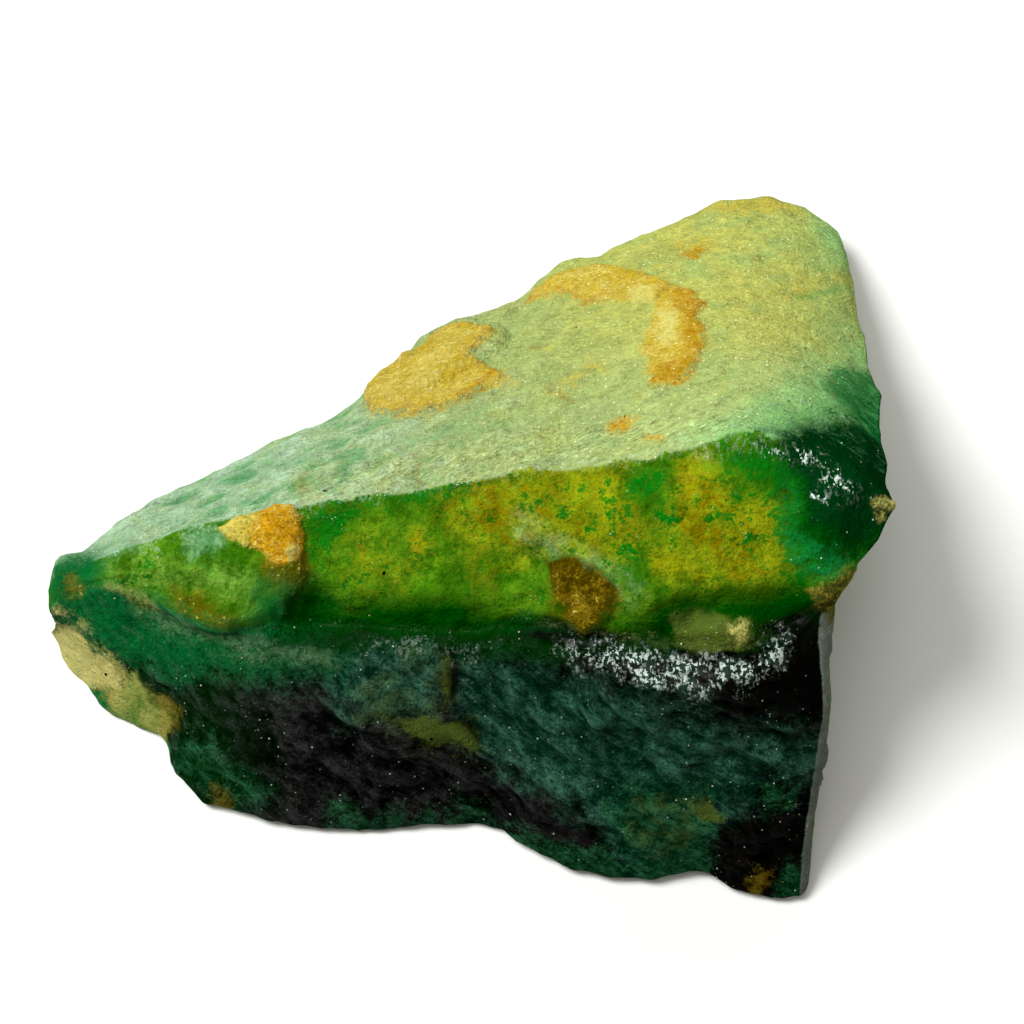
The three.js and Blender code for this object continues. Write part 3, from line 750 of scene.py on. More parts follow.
        "boss crumb": [(27.9, -7.3), (28.4, -7.1), (28.6, -7.4), (28.2, -7.6)],
        "right crumb": [(24.2, -20.9), (24.9, -20.7), (25, -21.4), (24.5, -21.7)],
    },
    "mint": {
        "beside the block": [
            (-26.7, -4.9), (-24.8, -4.6), (-23.8, -5.1), (-23.9, -6.3), (-25.3, -6.7), (-26.5, -6.3),
        ],
        "beside the tip": [(-32.8, -5.8), (-31.6, -5.2), (-31, -5.6), (-32.5, -6.2)],
    },
    "blots": {
        "scatter": [
            (1, -4), (8, -3), (12.4, -3), (14, -7), (11, -10), (8.6, -11), (6, -9), (2.4, -7.4),
        ],
        "right scatter": [(15.6, -5), (19.5, -5.8), (20.4, -9), (17.4, -10.4), (15, -7.6)],
    },
    "ochre": {
        "flank": [(-30.5, -14.6), (-29.1, -15.2), (-27.9, -16.9), (-28.8, -17.2)],
        "tip": [(-37, -7.4), (-36.2, -7), (-35.6, -7.6), (-36, -8)],
        "left foot": [(-24.6, -22.4), (-23.6, -22.6), (-23.6, -23.8), (-25, -23.6)],
        "right foot": [(19, -29.6), (20.4, -29.6), (20.4, -31), (19, -31)],
    },
    # painted highlights: white glints painted over the shelf, whose mask also makes it glossy
    "shelf_glints": {
        "shelf": [
            (3.7, -14.4), (4.5, -14.8), (7.7, -15.1), (10.8, -16), (13.5, -16.8), (16.1, -16.9),
            (19, -16.9), (19.7, -15.8), (20.7, -15.3), (20.6, -16.9), (19, -17.9), (16.4, -18.7),
            (14.1, -19.3), (11.5, -19), (8.5, -17.9), (4.9, -16.1),
        ],
    },
    # painted glints: white glints on the boss's ridge and face
    "boss_glints": {
        "boss ridge": [(21.7, -2.9), (22.8, -3.1), (23.9, -3.9), (23.5, -4.3), (22.5, -3.8), (21.6, -3.3)],
        "boss face": [
            (23.8, -4.6), (24.7, -4.8), (25.6, -5.5), (26, -6.1), (25.3, -6), (24.2, -5.6), (23.5, -5.2),
        ],
        "beside the boss": [(19.7, -2.6), (20.5, -2.7), (20.4, -3.1), (19.7, -3)],
        "low on the boss": [(22.7, -6.1), (23.8, -6.5), (23.8, -6.9), (22.7, -6.7)],
    },
    # painted glints: fine white flakes along the ridges, the left tip and beside the shelf
    "edge_glints": {
        "tip": [(-36, -4.7), (-34, -4.5), (-33.7, -5.1), (-35.9, -5.1)],
        "beside the tip": [(-32.8, -5.6), (-31.6, -4.9), (-31.2, -5.3), (-32.5, -6)],
        "left band": [(-30.2, -5), (-28.9, -5.4), (-29.1, -6.3), (-30, -5.9)],
        "left of the shelf": [
            (-13, -13.4), (-9.3, -13.4), (-6.5, -13.8), (-3.3, -14.6), (-3.3, -15.4), (-6.5, -14.9),
            (-9.1, -15), (-12, -14.4),
        ],
        "ridge": [
            (-30, -4.4), (-17.7, -3.1), (-3.3, -2.2), (3.8, -1.9), (15.4, -1.7), (15.4, -2.5),
            (3.8, -2.7), (-3.3, -3.1), (-17.7, -4), (-30, -5.6),
        ],
        "boss ridge": [
            (14.3, -1.6), (17.6, -1.9), (20.9, -2.2), (23.9, -3), (23.7, -4.1), (21.6, -3.7),
            (19.1, -3.1), (14.6, -2.5),
        ],
        "boss face": [(23.2, -4.7), (24.8, -4.8), (26.1, -5.9), (25.6, -6.6), (23.6, -6.6)],
    },
}
FIELD_DEPTH = 4.0      # fields are cut off this far outside a patch
RING_LENGTH = 100.0    # millimetres round a section, near enough, that turn ring shares into a field
END_START = 0.03       # share of the right cap's steps after which the right face begins
# Faces by where they lie round a section: middle and half width as shares of the ring.
FACES = {"band": (0.515, 0.085), "front": (0.73, 0.13), "back": (0.965, 0.035), "base": (0.895, 0.035)}
# How outlines wander: the shift and the size of each noise, in millimetres, along x and along y.
WANDER = (((0.45, 2.2), (0.2, 0.9)), ((0.4, 2.2), (0.2, 0.9)))
WANDER_OFFSET = 50     # keeps the two directions out of step


def depth_inside(x, y, outline):
    """How far a point lies inside an outline, and below 0 how far outside: the distance to the
    nearest of its straight sides, with the sign turned where a line to the right crosses an even
    number of sides."""
    nearest = np.full(x.shape, np.inf)
    inside = np.zeros(x.shape, bool)
    for (ax, ay), (bx, by) in zip(outline, outline[1:] + outline[:1]):
        dx, dy = bx - ax, by - ay
        share = np.clip(((x - ax) * dx + (y - ay) * dy) / (dx * dx + dy * dy), 0, 1)
        nearest = np.minimum(nearest, np.hypot(ax + share * dx - x, ay + share * dy - y))
        if dy:
            inside ^= ((ay > y) != (by > y)) & (x < ax + (y - ay) * dx / dy)
    return np.where(inside, nearest, -nearest)


def wandered(point, axis):
    """One coordinate of each point, moved a little by noise of two sizes."""
    x, y, z = point[..., 0], point[..., 1], point[..., 2]
    moved = point[..., axis]
    for shift, size in WANDER[axis]:
        moved = moved + shift * noise(x / size + axis * WANDER_OFFSET, y / size, z / size)
    return moved


def patch_depths(point):
    """How far each point lies inside each patch, for every pigment, with outlines that wander."""
    x, y = wandered(point, 0), wandered(point, 1)
    return {
        pigment: {name: depth_inside(x, y, outline) for name, outline in patches.items()}
        for pigment, patches in PIGMENTS.items()
    }


def surface_fields(depths, along, around):
    """One array for each pigment and each face: millimetres inside it, negative outside."""
    fields = {
        pigment: np.maximum(np.max(list(patches.values()), axis=0), -FIELD_DEPTH)
        for pigment, patches in depths.items()
    }
    for name, (middle, half) in FACES.items():
        away = np.abs(around - middle)
        fields[name] = (half - np.minimum(away, 1 - away)) * RING_LENGTH
    fields["end"] = ((along - 1) / RIGHT_CAP + 1 - END_START) * RIGHT_CAP * RING_LENGTH
    return fields


# ---------------------------------------------------------------- materials


class Value:
    """What varies over a surface: the output of a node. Arithmetic on a number adds Math nodes."""

    def __init__(self, nodes, socket):
        self.nodes, self.socket = nodes, socket

    def math(self, operation, first, second=0.0):
        """One Math node on one or two numbers."""
        return self.nodes.add("ShaderNodeMath", {"operation": operation}, {0: first, 1: second})

    def __add__(self, other):
        return self.math("ADD", self, other)

    __radd__ = __add__

    def __mul__(self, other):
        return self.math("MULTIPLY", self, other)

    __rmul__ = __mul__

    def __sub__(self, other):
        return self.math("SUBTRACT", self, other)

    def __rsub__(self, other):
        return self.math("SUBTRACT", other, self)

    def __abs__(self):
        return self.math("ABSOLUTE", self)

    def rise(self, low, high):
        """0 below `low`, 1 above `high`, with a smooth step between."""
        return self.nodes.add(
            "ShaderNodeMapRange", {"interpolation_type": "SMOOTHSTEP"}, {0: self, 1: low, 2: high},
        )


class Nodes:
    """A node tree, emptied, with one method that adds any node."""

    def __init__(self, owner):
        owner.use_nodes = True
        self.tree = owner.node_tree
        self.tree.nodes.clear()

    def add(self, kind, settings=None, inputs=None, output=0):
        """A new node: its settings first, then its inputs by name or number, as numbers or links."""
        node = self.tree.nodes.new(kind)
        for name, value in (settings or {}).items():
            setattr(node, name, value)
        for name, value in (inputs or {}).items():
            if isinstance(value, Value):
                self.tree.links.new(value.socket, node.inputs[name])
            else:
                node.inputs[name].default_value = value
        return Value(self, node.outputs[output]) if node.outputs else node

    def field(self, name):
        """One of the surface's own fields, by name."""
        return self.add("ShaderNodeAttribute", {"attribute_name": name}, output="Fac")

    def scaled(self, vector, size, offset=0.0):
        """A vector in millimetres divided by the size of a pattern, and moved along."""
        return self.add(
            "ShaderNodeVectorMath", {"operation": "MULTIPLY_ADD"},
            {0: vector, 1: (1 / size[0], 1 / size[1], 1 / size[2]), 2: (offset,) * 3},
        )

    def cloud(self, vector, size, detail=3.0, roughness=0.55, offset=0.0):
        """Cloudy noise round 0, mostly from -0.3 to 0.3, with lumps of the given size."""
        return self.add(
            "ShaderNodeTexNoise", None,
            {"Vector": self.scaled(vector, size, offset), "Scale": 1.0, "Detail": detail,
             "Roughness": roughness},
        ) - 0.5

    def grain(self, vector, size, offset=0.0):
        """A random number from 0 to 1 for each small cell."""
        cell = self.add(
            "ShaderNodeTexVoronoi", None,
            {"Vector": self.scaled(vector, size, offset), "Scale": 1.0}, "Color",
        )
        return self.add("ShaderNodeSeparateColor", None, {0: cell})

    def glints(self, vector, spacing, radius, share):
        """Small round glints, one at most to each cell of the given spacing, in `share` of the cells,
        and of uneven strength."""
        inputs = {"Vector": self.scaled(vector, (spacing,) * 3), "Scale": 1.0}
        distance = self.add("ShaderNodeTexVoronoi", None, inputs, "Distance")
        cell = Value(self, distance.socket.node.outputs["Color"])
        chance = self.add("ShaderNodeSeparateColor", None, {0: cell})
        glow = (radius / spacing - distance).rise(0.0, radius / spacing * 0.7)
        return glow * chance.rise(1 - share, 1.0)

    def mix(self, first, second, share):
        """Two colours blended."""
        inputs = {0: share, 6: first, 7: second}
        inputs = {
            key: (*value, 1.0) if isinstance(value, tuple) else value for key, value in inputs.items()
        }
        return self.add("ShaderNodeMix", {"data_type": "RGBA"}, inputs, output=2)

    def layers(self, ground, *coats):
        """A ground colour with coats laid over it in turn, each a colour and the share it covers."""
        colour = ground
        for coat, share in coats:
            colour = self.mix(colour, coat, share)
        return colour

    def shade(self, colour, factor):
        """A colour made lighter or darker by a factor."""
        return self.add("ShaderNodeVectorMath", {"operation": "SCALE"}, {0: colour, "Scale": factor})


# Colours of the stone, as linear red, green and blue.
SAGE = (0.285, 0.445, 0.21)
# the next two colours paint pale sheen and pale highlights on the top
PALE_SHEEN = (0.48, 0.62, 0.30)
PALE_SEA_HIGHLIGHT = (0.50, 0.70, 0.52)
SEA_GREEN = (0.10, 0.31, 0.12)
PALE_OLIVE = (0.36, 0.42, 0.11)
STRAW = (0.54, 0.53, 0.11)
LIGHT_LEAF = (0.27, 0.51, 0.17)
LEAF = (0.045, 0.29, 0.075)
DARK_LEAF = (0.0003, 0.115, 0.02)
HONEY = (0.54, 0.37, 0.015)
PALE_HONEY = (0.68, 0.55, 0.11)
GOLD = (0.46, 0.38, 0.05)
TAN = (0.58, 0.30, 0.006)
LEFT_GREEN = (0.006, 0.24, 0.052)
AMBER = (0.42, 0.29, 0.008)
ORANGE = (0.42, 0.19, 0.001)
UMBER = (0.22, 0.13, 0.006)
MUSTARD = (0.225, 0.26, 0.004)
GOLDEN = (0.22, 0.165, 0.0005)
LIME = (0.075, 0.195, 0.005)
PALE_LIME = (0.14, 0.28, 0.035)
MOSS = (0.036, 0.15, 0.002)
BOTTLE = (0.0002, 0.12, 0.003)
BROWN = (0.09, 0.06, 0.0005)
DEEP = (0.0001, 0.055, 0.0002)
GREEN = (0.0003, 0.11, 0.02)
TEAL = (0.003, 0.047, 0.025)
SHEEN = (0.042, 0.135, 0.086)
# the boss's dark green, painted as shade
SHADED_BOSS = (0.0003, 0.034, 0.005)
BLACK = (0.002, 0.0015, 0.001)
# painted sheen on the front's crests
CREST_SHEEN_GREY = (0.042, 0.041, 0.044)
OLIVE = (0.115, 0.155, 0.025)
MINT = (0.26, 0.44, 0.24)
CREAM = (0.66, 0.61, 0.17)
IVORY = (0.76, 0.71, 0.24)
PALE_TEAL = (0.36, 0.56, 0.40)
OCHRE = (0.30, 0.21, 0.008)
DARK_SLATE = (0.16, 0.19, 0.15)
SLATE = (0.22, 0.26, 0.21)
# colours of painted highlights and glints
GLINT_WHITE = (0.85, 1.0, 0.9)
STRAW_GLINT = (1.0, 0.97, 0.55)


# Cloudy patterns of the stone: the grain that each follows, "even" being none, the size of its lumps in
# millimetres, its detail, its roughness, and an offset that keeps it out of step with the others.
PATTERNS = {
    "clouds": ("even", (6, 6, 6), 4, 0.6, 0),
    "smudge": ("even", (2.8, 2.8, 2.8), 4, 0.7, 97),
    "patchy": ("even", (2.2, 2.2, 2.2), 4, 0.7, 11),
    "dapple": ("even", (1.5, 1.5, 1.5), 4, 0.75, 83),
    "mottle": ("even", (1, 1, 1), 4, 0.75, 31),
    "curls": ("even", (0.45, 0.45, 0.45), 2, 0.7, 53),
    "specks": ("even", (0.42, 0.42, 0.42), 2, 0.8, 61),
    "crumbs": ("even", (0.26, 0.26, 0.26), 2, 0.7, 5),
    "comb": ("even", (0.26, 0.55, 0.55), 1.5, 0.55, 41),
    "drift": ("top", (3, 1.5, 2), 4, 0.65, 17),
    "brushed": ("top", (0.7, 0.24, 0.5), 3, 0.7, 0),
    "strands": ("front", (4.5, 2, 0.5), 3, 0.65, 23),
    "flow": ("front", (1.7, 1.1, 0.42), 4, 0.8, 71),
    "rippled": ("front", (1.5, 1.5, 0.6), 3, 0.6, 7),
    "fibres": ("front", (0.55, 0.55, 0.16), 2, 0.65, 0),
    "wisps": ("boss", (2.6, 0.5, 0.8), 4, 0.7, 47),
}
# Grains of the stone: the axis round which each is turned, and by how many degrees.
GRAINS = {"top": ("Z_AXIS", -32), "front": ("Y_AXIS", -26), "boss": ("Z_AXIS", 24)}
SUGAR_CELL = 0.27      # width of one sugary grain, in millimetres
SUGAR_OFFSET = 9.0     # keeps the sugary grains out of step with the glints
BARE_HEIGHT = 17       # below this height in millimetres the right face shows no pigment from above
BUMP_DEPTH = 0.9       # millimetres of finest relief for each unit of its height


class StoneNodes(Nodes):
    """The node tree of the stone's material, with the stone's places, patterns and faces at hand.

    `left`, `leftwards` and `rightwards` rise from 0 to 1 towards an end of the stone. `ragged` frays
    borders, the crest mask is 1 on the crests of the front's folds and paints highlights there, and
    `on_front` and `on_band` are 1 on those faces."""

    def __init__(self, material):
        super().__init__(material)
        place = self.add("ShaderNodeTexCoord", output="Object")
        self.mm = self.add("ShaderNodeVectorMath", {"operation": "SCALE"}, {0: place, "Scale": 1 / MM})
        self.x, self.y, self.z = (
            self.add("ShaderNodeSeparateXYZ", None, {0: self.mm}, output=axis) for axis in range(3)
        )
        self.left = (-12 - self.x).rise(0.0, 10.0)
        self.leftwards = (8 - self.x).rise(-8, 28)
        self.rightwards = self.x.rise(-6, 14)
        grains = {"even": self.mm}
        for name, (axis, turn) in GRAINS.items():
            inputs = {"Vector": self.mm, "Angle": math.radians(turn)}
            grains[name] = self.add("ShaderNodeVectorRotate", {"rotation_type": axis}, inputs)
        for name, (grain, *shape) in PATTERNS.items():
            setattr(self, name, self.cloud(grains[grain], *shape))
        self.cells = self.grain(self.mm, (SUGAR_CELL,) * 3, SUGAR_OFFSET)
        self.sugar = self.cells - 0.5
        self.ragged = self.patchy * 1.4 + self.mottle + self.crumbs * 0.8
        self.speckle = (self.mottle * 1.2 + self.crumbs * 0.8).rise(-0.12, 0.14)
        self.wavy = self.clouds * 5 + self.patchy * 2
        streaks = self.flow * 1.3 + self.strands * 0.4 + self.rippled * 0.5 + self.mottle + self.crumbs * 0.55
        # the front's painted highlights and shade follow this mask of the crests
        self.crest_highlight = (self.field("crests") * 1.1 + streaks).rise(-0.42, 0.62)
        front = self.field("front") + self.ragged * 1.3 + self.wavy + self.left * 0.6
        self.on_front = front.rise(-0.9 - self.left * 1.6, 0.9 + self.left * 1.6)
        self.on_band = self.inside("band", 0.25, 1.5)
        # painted sheen streaks
        self.sheen_streaks = self.inside("sheen_streaks", 0.9, 1.2) * (self.fibres * 0.6 + self.rippled + 0.1).rise(-0.15, 0.3)

    def inside(self, name, border=0.35, wander=1.0, shift=0.0):
        """How far a pigment covers: 1 inside its field, 0 outside, with a ragged border."""
        return (self.field(name) + self.ragged * wander + shift).rise(-border, border)


def top_colour(rock):
    """The sloping top: sage on the left with sea-green dimples, darkened in the dents as painted shade
    with painted pale highlights between them, olive and straw on the right under a painted pale
    sheen, green wisps with painted pale highlights where it runs down to the boss, and painted sheen
    streaks near the ridge."""
    # painted shade in the dents of the relief, and painted highlights between them
    dent_shading = rock.field("crests") * -1.2
    sea = rock.field("sea") + rock.ragged * 1.6 + rock.brushed * 8
    sheen = rock.inside("sheen", 1.4, 1.2)
    grit = rock.crumbs + rock.specks * 0.9 + rock.mottle * 1.8 + rock.drift * 0.8 + rock.sugar * 0.16
    colour = rock.layers(
        SAGE,
        (PALE_OLIVE, (rock.x + rock.clouds * 30).rise(-24, 4)),
        (PALE_TEAL, rock.leftwards * 0.45),
        (STRAW, (rock.x + rock.clouds * 30 + rock.drift * 20).rise(0, 24) * 0.7),
        (SAGE, (9 - rock.y + rock.clouds * 14 + rock.drift * 8).rise(-6, 9) * rock.rightwards * 0.5),
        (SEA_GREEN, (dent_shading + rock.drift + rock.mottle * 0.6).rise(0.0, 0.22) * rock.leftwards * 0.9),
        (PALE_SEA_HIGHLIGHT, (rock.mottle * 0.5 - rock.drift - dent_shading).rise(0.0, 0.3) * rock.leftwards * 0.5),
        (PALE_OLIVE, (rock.clouds * 0.8 + rock.patchy).rise(0.0, 0.2) * (0.8 - rock.leftwards * 0.5)),
        (HONEY, (rock.drift * 0.6 + rock.patchy * 0.8 + rock.specks * 0.4).rise(0.08, 0.36)
         * (0.35 - rock.leftwards * 0.2)),
        (LIGHT_LEAF, (rock.clouds - rock.drift * 0.8).rise(-0.02, 0.26) * rock.rightwards * 0.25),
        (LIGHT_LEAF, rock.inside("leaf", 1.4, 1.8) * 0.9),
        (LIGHT_LEAF, (rock.x + rock.clouds * 14 + rock.patchy * 10).rise(23, 34) * 0.4),
        (PALE_SHEEN, (rock.mottle * 0.6 - rock.drift * 0.9).rise(0.1, 0.5) * rock.rightwards * 0.4),
        (UMBER, (rock.patchy * 0.5 + rock.brushed * 0.3 + rock.mottle * 0.8).rise(0.24, 0.42) * 0.5),
        (LIGHT_LEAF, sea.rise(-4.0, 2.0) * 0.6),
        (LIGHT_LEAF, sea.rise(-1.0, 1.0) * 0.8),
        (LEAF, sea.rise(0.8, 3.8) * 0.5),
        (DARK_LEAF, (sea - rock.wisps * 6).rise(3.6, 7.0)),
        (SEA_GREEN, sea.rise(1.0, 3.0) * (rock.wisps + rock.specks * 0.3).rise(0.0, 0.26) * 0.7),
        (PALE_SEA_HIGHLIGHT, sea.rise(-1.5, 1.5)
         * (rock.wisps + rock.brushed * 0.4 + rock.mottle * 0.3).rise(0.04, 0.32) * 0.6),
        (LEAF, rock.inside("crease", 0.4, 0.9) * 0.5),
        (HONEY, (rock.field("haze") + rock.ragged * 2.0 + rock.mottle * 5).rise(-0.5, 1.5) * 0.5),
        (PALE_SHEEN, sheen * (rock.brushed * 1.8)),
    )
    fade = 1 - rock.rightwards * 0.35 - rock.leftwards * 0.3
    # brushed streaks, stronger in the sheen field, are painted sheen; the grit is the stone's own grain
    return rock.shade(colour, 1.03 + rock.brushed * (0.4 + sheen * 1.4) + grit * fade)


def band_colour(rock):
    """The band below the ridge: moss and lime, mustard inside its fields, and over both brown and rust,
    thin veins and bottle-green dapples."""
    warm = (rock.mottle * 0.7 + rock.clouds * 0.7 - rock.patchy * 0.8 + rock.crumbs * 0.2).rise(0.0, 0.14)
    mustard = rock.layers(
        LIME,
        (MUSTARD, (rock.x + rock.clouds * 20 + rock.patchy * 50 + rock.crumbs * 10).rise(-10, 12)),
        (LIME, (rock.patchy * 0.8 + rock.mottle * 0.5 + rock.clouds * 0.5).rise(0.05, 0.15) * 0.55),
        (GOLDEN, warm * (0.35 + rock.x.rise(-12, 6) * 0.45)),
        (OCHRE, (rock.mottle * 0.8 - rock.smudge + rock.specks * 0.4).rise(0.18, 0.28)
         * (0.2 + rock.x.rise(-8, 6) * 0.35)),
    )
    rust = rock.mix(BROWN, OCHRE, (rock.mottle + rock.specks * 0.6).rise(0.0, 0.3))
    blots = rock.field("blots").rise(-1.0, 1.0) * 0.10
    veins = (0.03 - abs(rock.patchy * 0.6 + rock.smudge * 0.8 + rock.mottle * 0.15)).rise(0.0, 0.03)
    flecks = (rock.specks * 0.8 + rock.crumbs * 0.5 + rock.mottle * 0.3).rise(0.2, 0.26)
    pale = rock.field("lime") + rock.ragged * 1.6 + rock.mottle * 3 + rock.patchy * 4
    colour = rock.layers(
        MOSS,
        (LIME, (rock.clouds * 0.6 + rock.patchy * 0.9 + rock.crumbs * 0.3).rise(-0.2, 0.14)),
        (PALE_LIME, pale.rise(-0.6, 2.8) * 0.85),
        (GOLDEN, rock.field("lime").rise(0.0, 1.0) * (rock.patchy + rock.crumbs * 0.4).rise(0.06, 0.3) * 0.6),
        (mustard, rock.inside("mustard", 1.2, 3.0)),
        (BROWN, (rock.mottle * 0.8 + rock.clouds * 0.8).rise(0.06, 0.3) * 0.55),
        (GOLDEN, (rock.smudge + rock.mottle * 0.4).rise(0.08, 0.18) * rock.inside("mustard", 2.0, 2.0) * 0.7),
        (BROWN, (rock.mottle * 0.5 - rock.smudge + rock.crumbs * 0.2).rise(0.16, 0.26) * 0.6),
        (BROWN, rock.inside("rust", 0.7, 2.0) * (0.4 + rock.mottle * 2.0 + rock.patchy).rise(0.0, 1.0) * 0.8),
        # painted sheen streaks on the band
        (SAGE, rock.sheen_streaks * 0.4),
        (MOSS, (rock.crumbs * 0.7 + rock.mottle * 1.1).rise(0.14, 0.3) * 0.6),
        (BOTTLE, (rock.dapple + rock.clouds * 0.6 - rock.smudge * 0.3).rise(0.11, 0.17) * 0.85),
        (BOTTLE, (rock.patchy * 0.35 + rock.mottle + rock.crumbs * 0.3 + blots).rise(0.13, 0.24) * 0.85),
        (BOTTLE, (rock.field("bottle") + rock.ragged * 2.4 + rock.mottle * 5).rise(-0.4, 1.2) * 0.92),
        (rust, (rock.field("gold") + rock.ragged * 2.0).rise(-0.8, 0.6) * 0.75),
        (BOTTLE, veins * (rock.clouds + rock.drift + 0.15).rise(0.0, 0.2) * 0.55),
        (DARK_LEAF, flecks * 0.6),
        (PALE_LIME, (rock.smudge * 0.9 - rock.patchy * 0.5 + rock.mottle * 0.3).rise(0.12, 0.3) * 0.4),
    )
    return rock.shade(colour, 1.13 + rock.sugar * 0.2 + rock.mottle * 1.7 + rock.patchy * 1.8)


def front_colour(rock):
    """The steep front: black with painted ash-grey sheen on the crests, teal over most of it with
    painted sheen on its crests, and moss green at the foot, with spots of painted shade and the whole
    lightened on the crests and darkened off them as painted light and shade.
    """
    # painted shade: scattered dark spots
    pit_shade = (rock.patchy * 0.4 + rock.mottle * 0.8 + rock.specks * 0.4).rise(0.12, 0.22)
    colour = rock.layers(
        rock.mix(BLACK, DEEP, rock.left * 0.6),
        (CREST_SHEEN_GREY, rock.crest_highlight * (0.75 - rock.x.rise(-6.0, 16.0) * 0.65)),
        (rock.mix(TEAL, SHEEN, rock.crest_highlight), rock.inside("teal", 1.4, 2.4)),
        (rock.mix(GREEN, SHEEN, rock.crest_highlight * 0.6), rock.inside("moss", 0.8, 2.4) * (0.3 + rock.crest_highlight * 0.7)),
        (BLACK, pit_shade * 0.5),
    )
    # painted light and shade: lighter on the crests, darker off them
    return rock.shade(colour, 0.45 + rock.crest_highlight * 1.2)


def edge_layers(rock):
    """What lies where faces meet: fresh streaked green under the left rim with painted pale sheen streaks,
    a dark green band along the lip, partly painted shade, with painted highlights on its crests, the
    dark hollow, partly painted shade, the dark boss, painted as shade with painted sheen streaks, with
    its seam, edge and painted sheen wisps, painted sheen streaks on the front, and the black patch
    beside the right edge."""
    fresh = rock.layers(
        LEFT_GREEN,
        (SEA_GREEN, (rock.strands * 1.4 + rock.rippled * 0.5 + rock.mottle * 0.4).rise(0.02, 0.3) * 0.75),
        (TEAL, (0 - rock.strands * 1.2 - rock.rippled * 0.6 - rock.mottle * 0.3).rise(0.02, 0.26) * 0.7),
        # painted sheen: pale streaks
        (SAGE, (rock.strands + rock.fibres * 0.4 + rock.specks * 0.2).rise(0.16, 0.38) * 0.4),
    )
    # the dark green along the lip is partly painted shade, lighter on the crests as painted highlight
    rim = 1.7 - abs(rock.field("front") + rock.ragged * 0.8 + rock.wavy * 0.7 - 0.5)
    lip = rim.rise(0.0, 1.2) * (12 - rock.x).rise(0, 8)
    green = (rock.field("green") + rock.ragged * 1.8 + rock.crest_highlight).rise(-1.5, 1.2)
    # the boss painted dark as shade, with painted sheen streaks
    boss = rock.mix(SHADED_BOSS, SHEEN, (rock.brushed + rock.mottle * 0.6).rise(0.1, 0.45) * 0.6)
    seam = (1.6 - abs(rock.field("boss") + 1.8 + rock.ragged * 1.6)).rise(0.0, 1.4)
    seam = seam * rock.on_band * rock.x.rise(24, 27)
    edge = (rock.field("edge") + rock.ragged * 1.6 + rock.wisps * 4).rise(-1.2, 0.8) * (1 - rock.on_band)
    # painted sheen wisps over the boss
    wisp = (rock.field("wisp") + rock.ragged * 1.4).rise(-1.4, 0.6)
    wisp = wisp * (rock.wisps + rock.brushed * 0.3 + rock.mottle * 0.2).rise(-0.04, 0.3)
    return (
        (rock.mix(rock.mix(DEEP, GREEN, rock.crest_highlight * 0.6), fresh, rock.left), lip * 0.9),
        (fresh, (rock.field("green") + rock.ragged * 2.4).rise(-1.6, 1.0) * rock.left * 0.9),
        (GREEN, green * (0.85 - rock.on_front * 0.25)),
        # partly painted shade in the hollow and on the boss's face
        (DEEP, rock.inside("dark_shade", 1.0, 1.6) * (1 - rock.on_front * 0.35)),
        (boss, rock.inside("boss", 1.2, 2.4)),
        (LEFT_GREEN, seam * (rock.wisps + rock.mottle + 0.1).rise(-0.1, 0.25) * 0.8),
        (rock.mix(DARK_LEAF, LEAF, (rock.wisps + rock.mottle * 0.5).rise(-0.12, 0.24)), edge * 0.85),
        (rock.mix(SHEEN, SEA_GREEN, (rock.brushed + rock.mottle).rise(-0.1, 0.3)), wisp * 0.75),
        (SAGE, rock.sheen_streaks * rock.on_front * 0.42),
        (BLACK, rock.inside("right_black", 1.0, 2.2) * rock.on_front * 0.9),
    )


def back_and_wall(rock):
    """The mossy back wall; the colour of the right face, which is slate low in front and green behind;
    and the share that the right face covers."""
    back = rock.layers(
        MOSS,
        (SAGE, (rock.patchy + rock.clouds * 0.8 + rock.mottle * 0.5).rise(-0.05, 0.3) * 0.6),
        (DARK_LEAF, (0 - rock.patchy - rock.mottle * 0.8).rise(0.02, 0.24) * 0.7),
    )
    back = rock.shade(back, 0.95 + rock.mottle * 1.4 + rock.crumbs)
    slate = rock.mix(DARK_SLATE, SLATE, (rock.y + rock.patchy * 3).rise(-24, -19))
    slate = rock.shade(slate, 1.0 + rock.mottle + rock.patchy * 0.9)
    low = (-9 - rock.y + rock.clouds * 16 + rock.patchy * 9).rise(0.0, 1.5)
    wall = rock.layers(
        back,
        (BOTTLE, (rock.clouds + rock.patchy * 0.8 + rock.mottle * 0.3).rise(-0.1, 0.2) * 0.8),
        (TEAL, (0 - rock.clouds - rock.mottle * 0.5).rise(0.0, 0.2) * 0.7),
        (slate, low),
    )
    face = rock.inside("end", 0.3, 0.4) * low + rock.inside("end", 1.5, 1.5, -4.0) * (1 - low)
    return back, wall, face


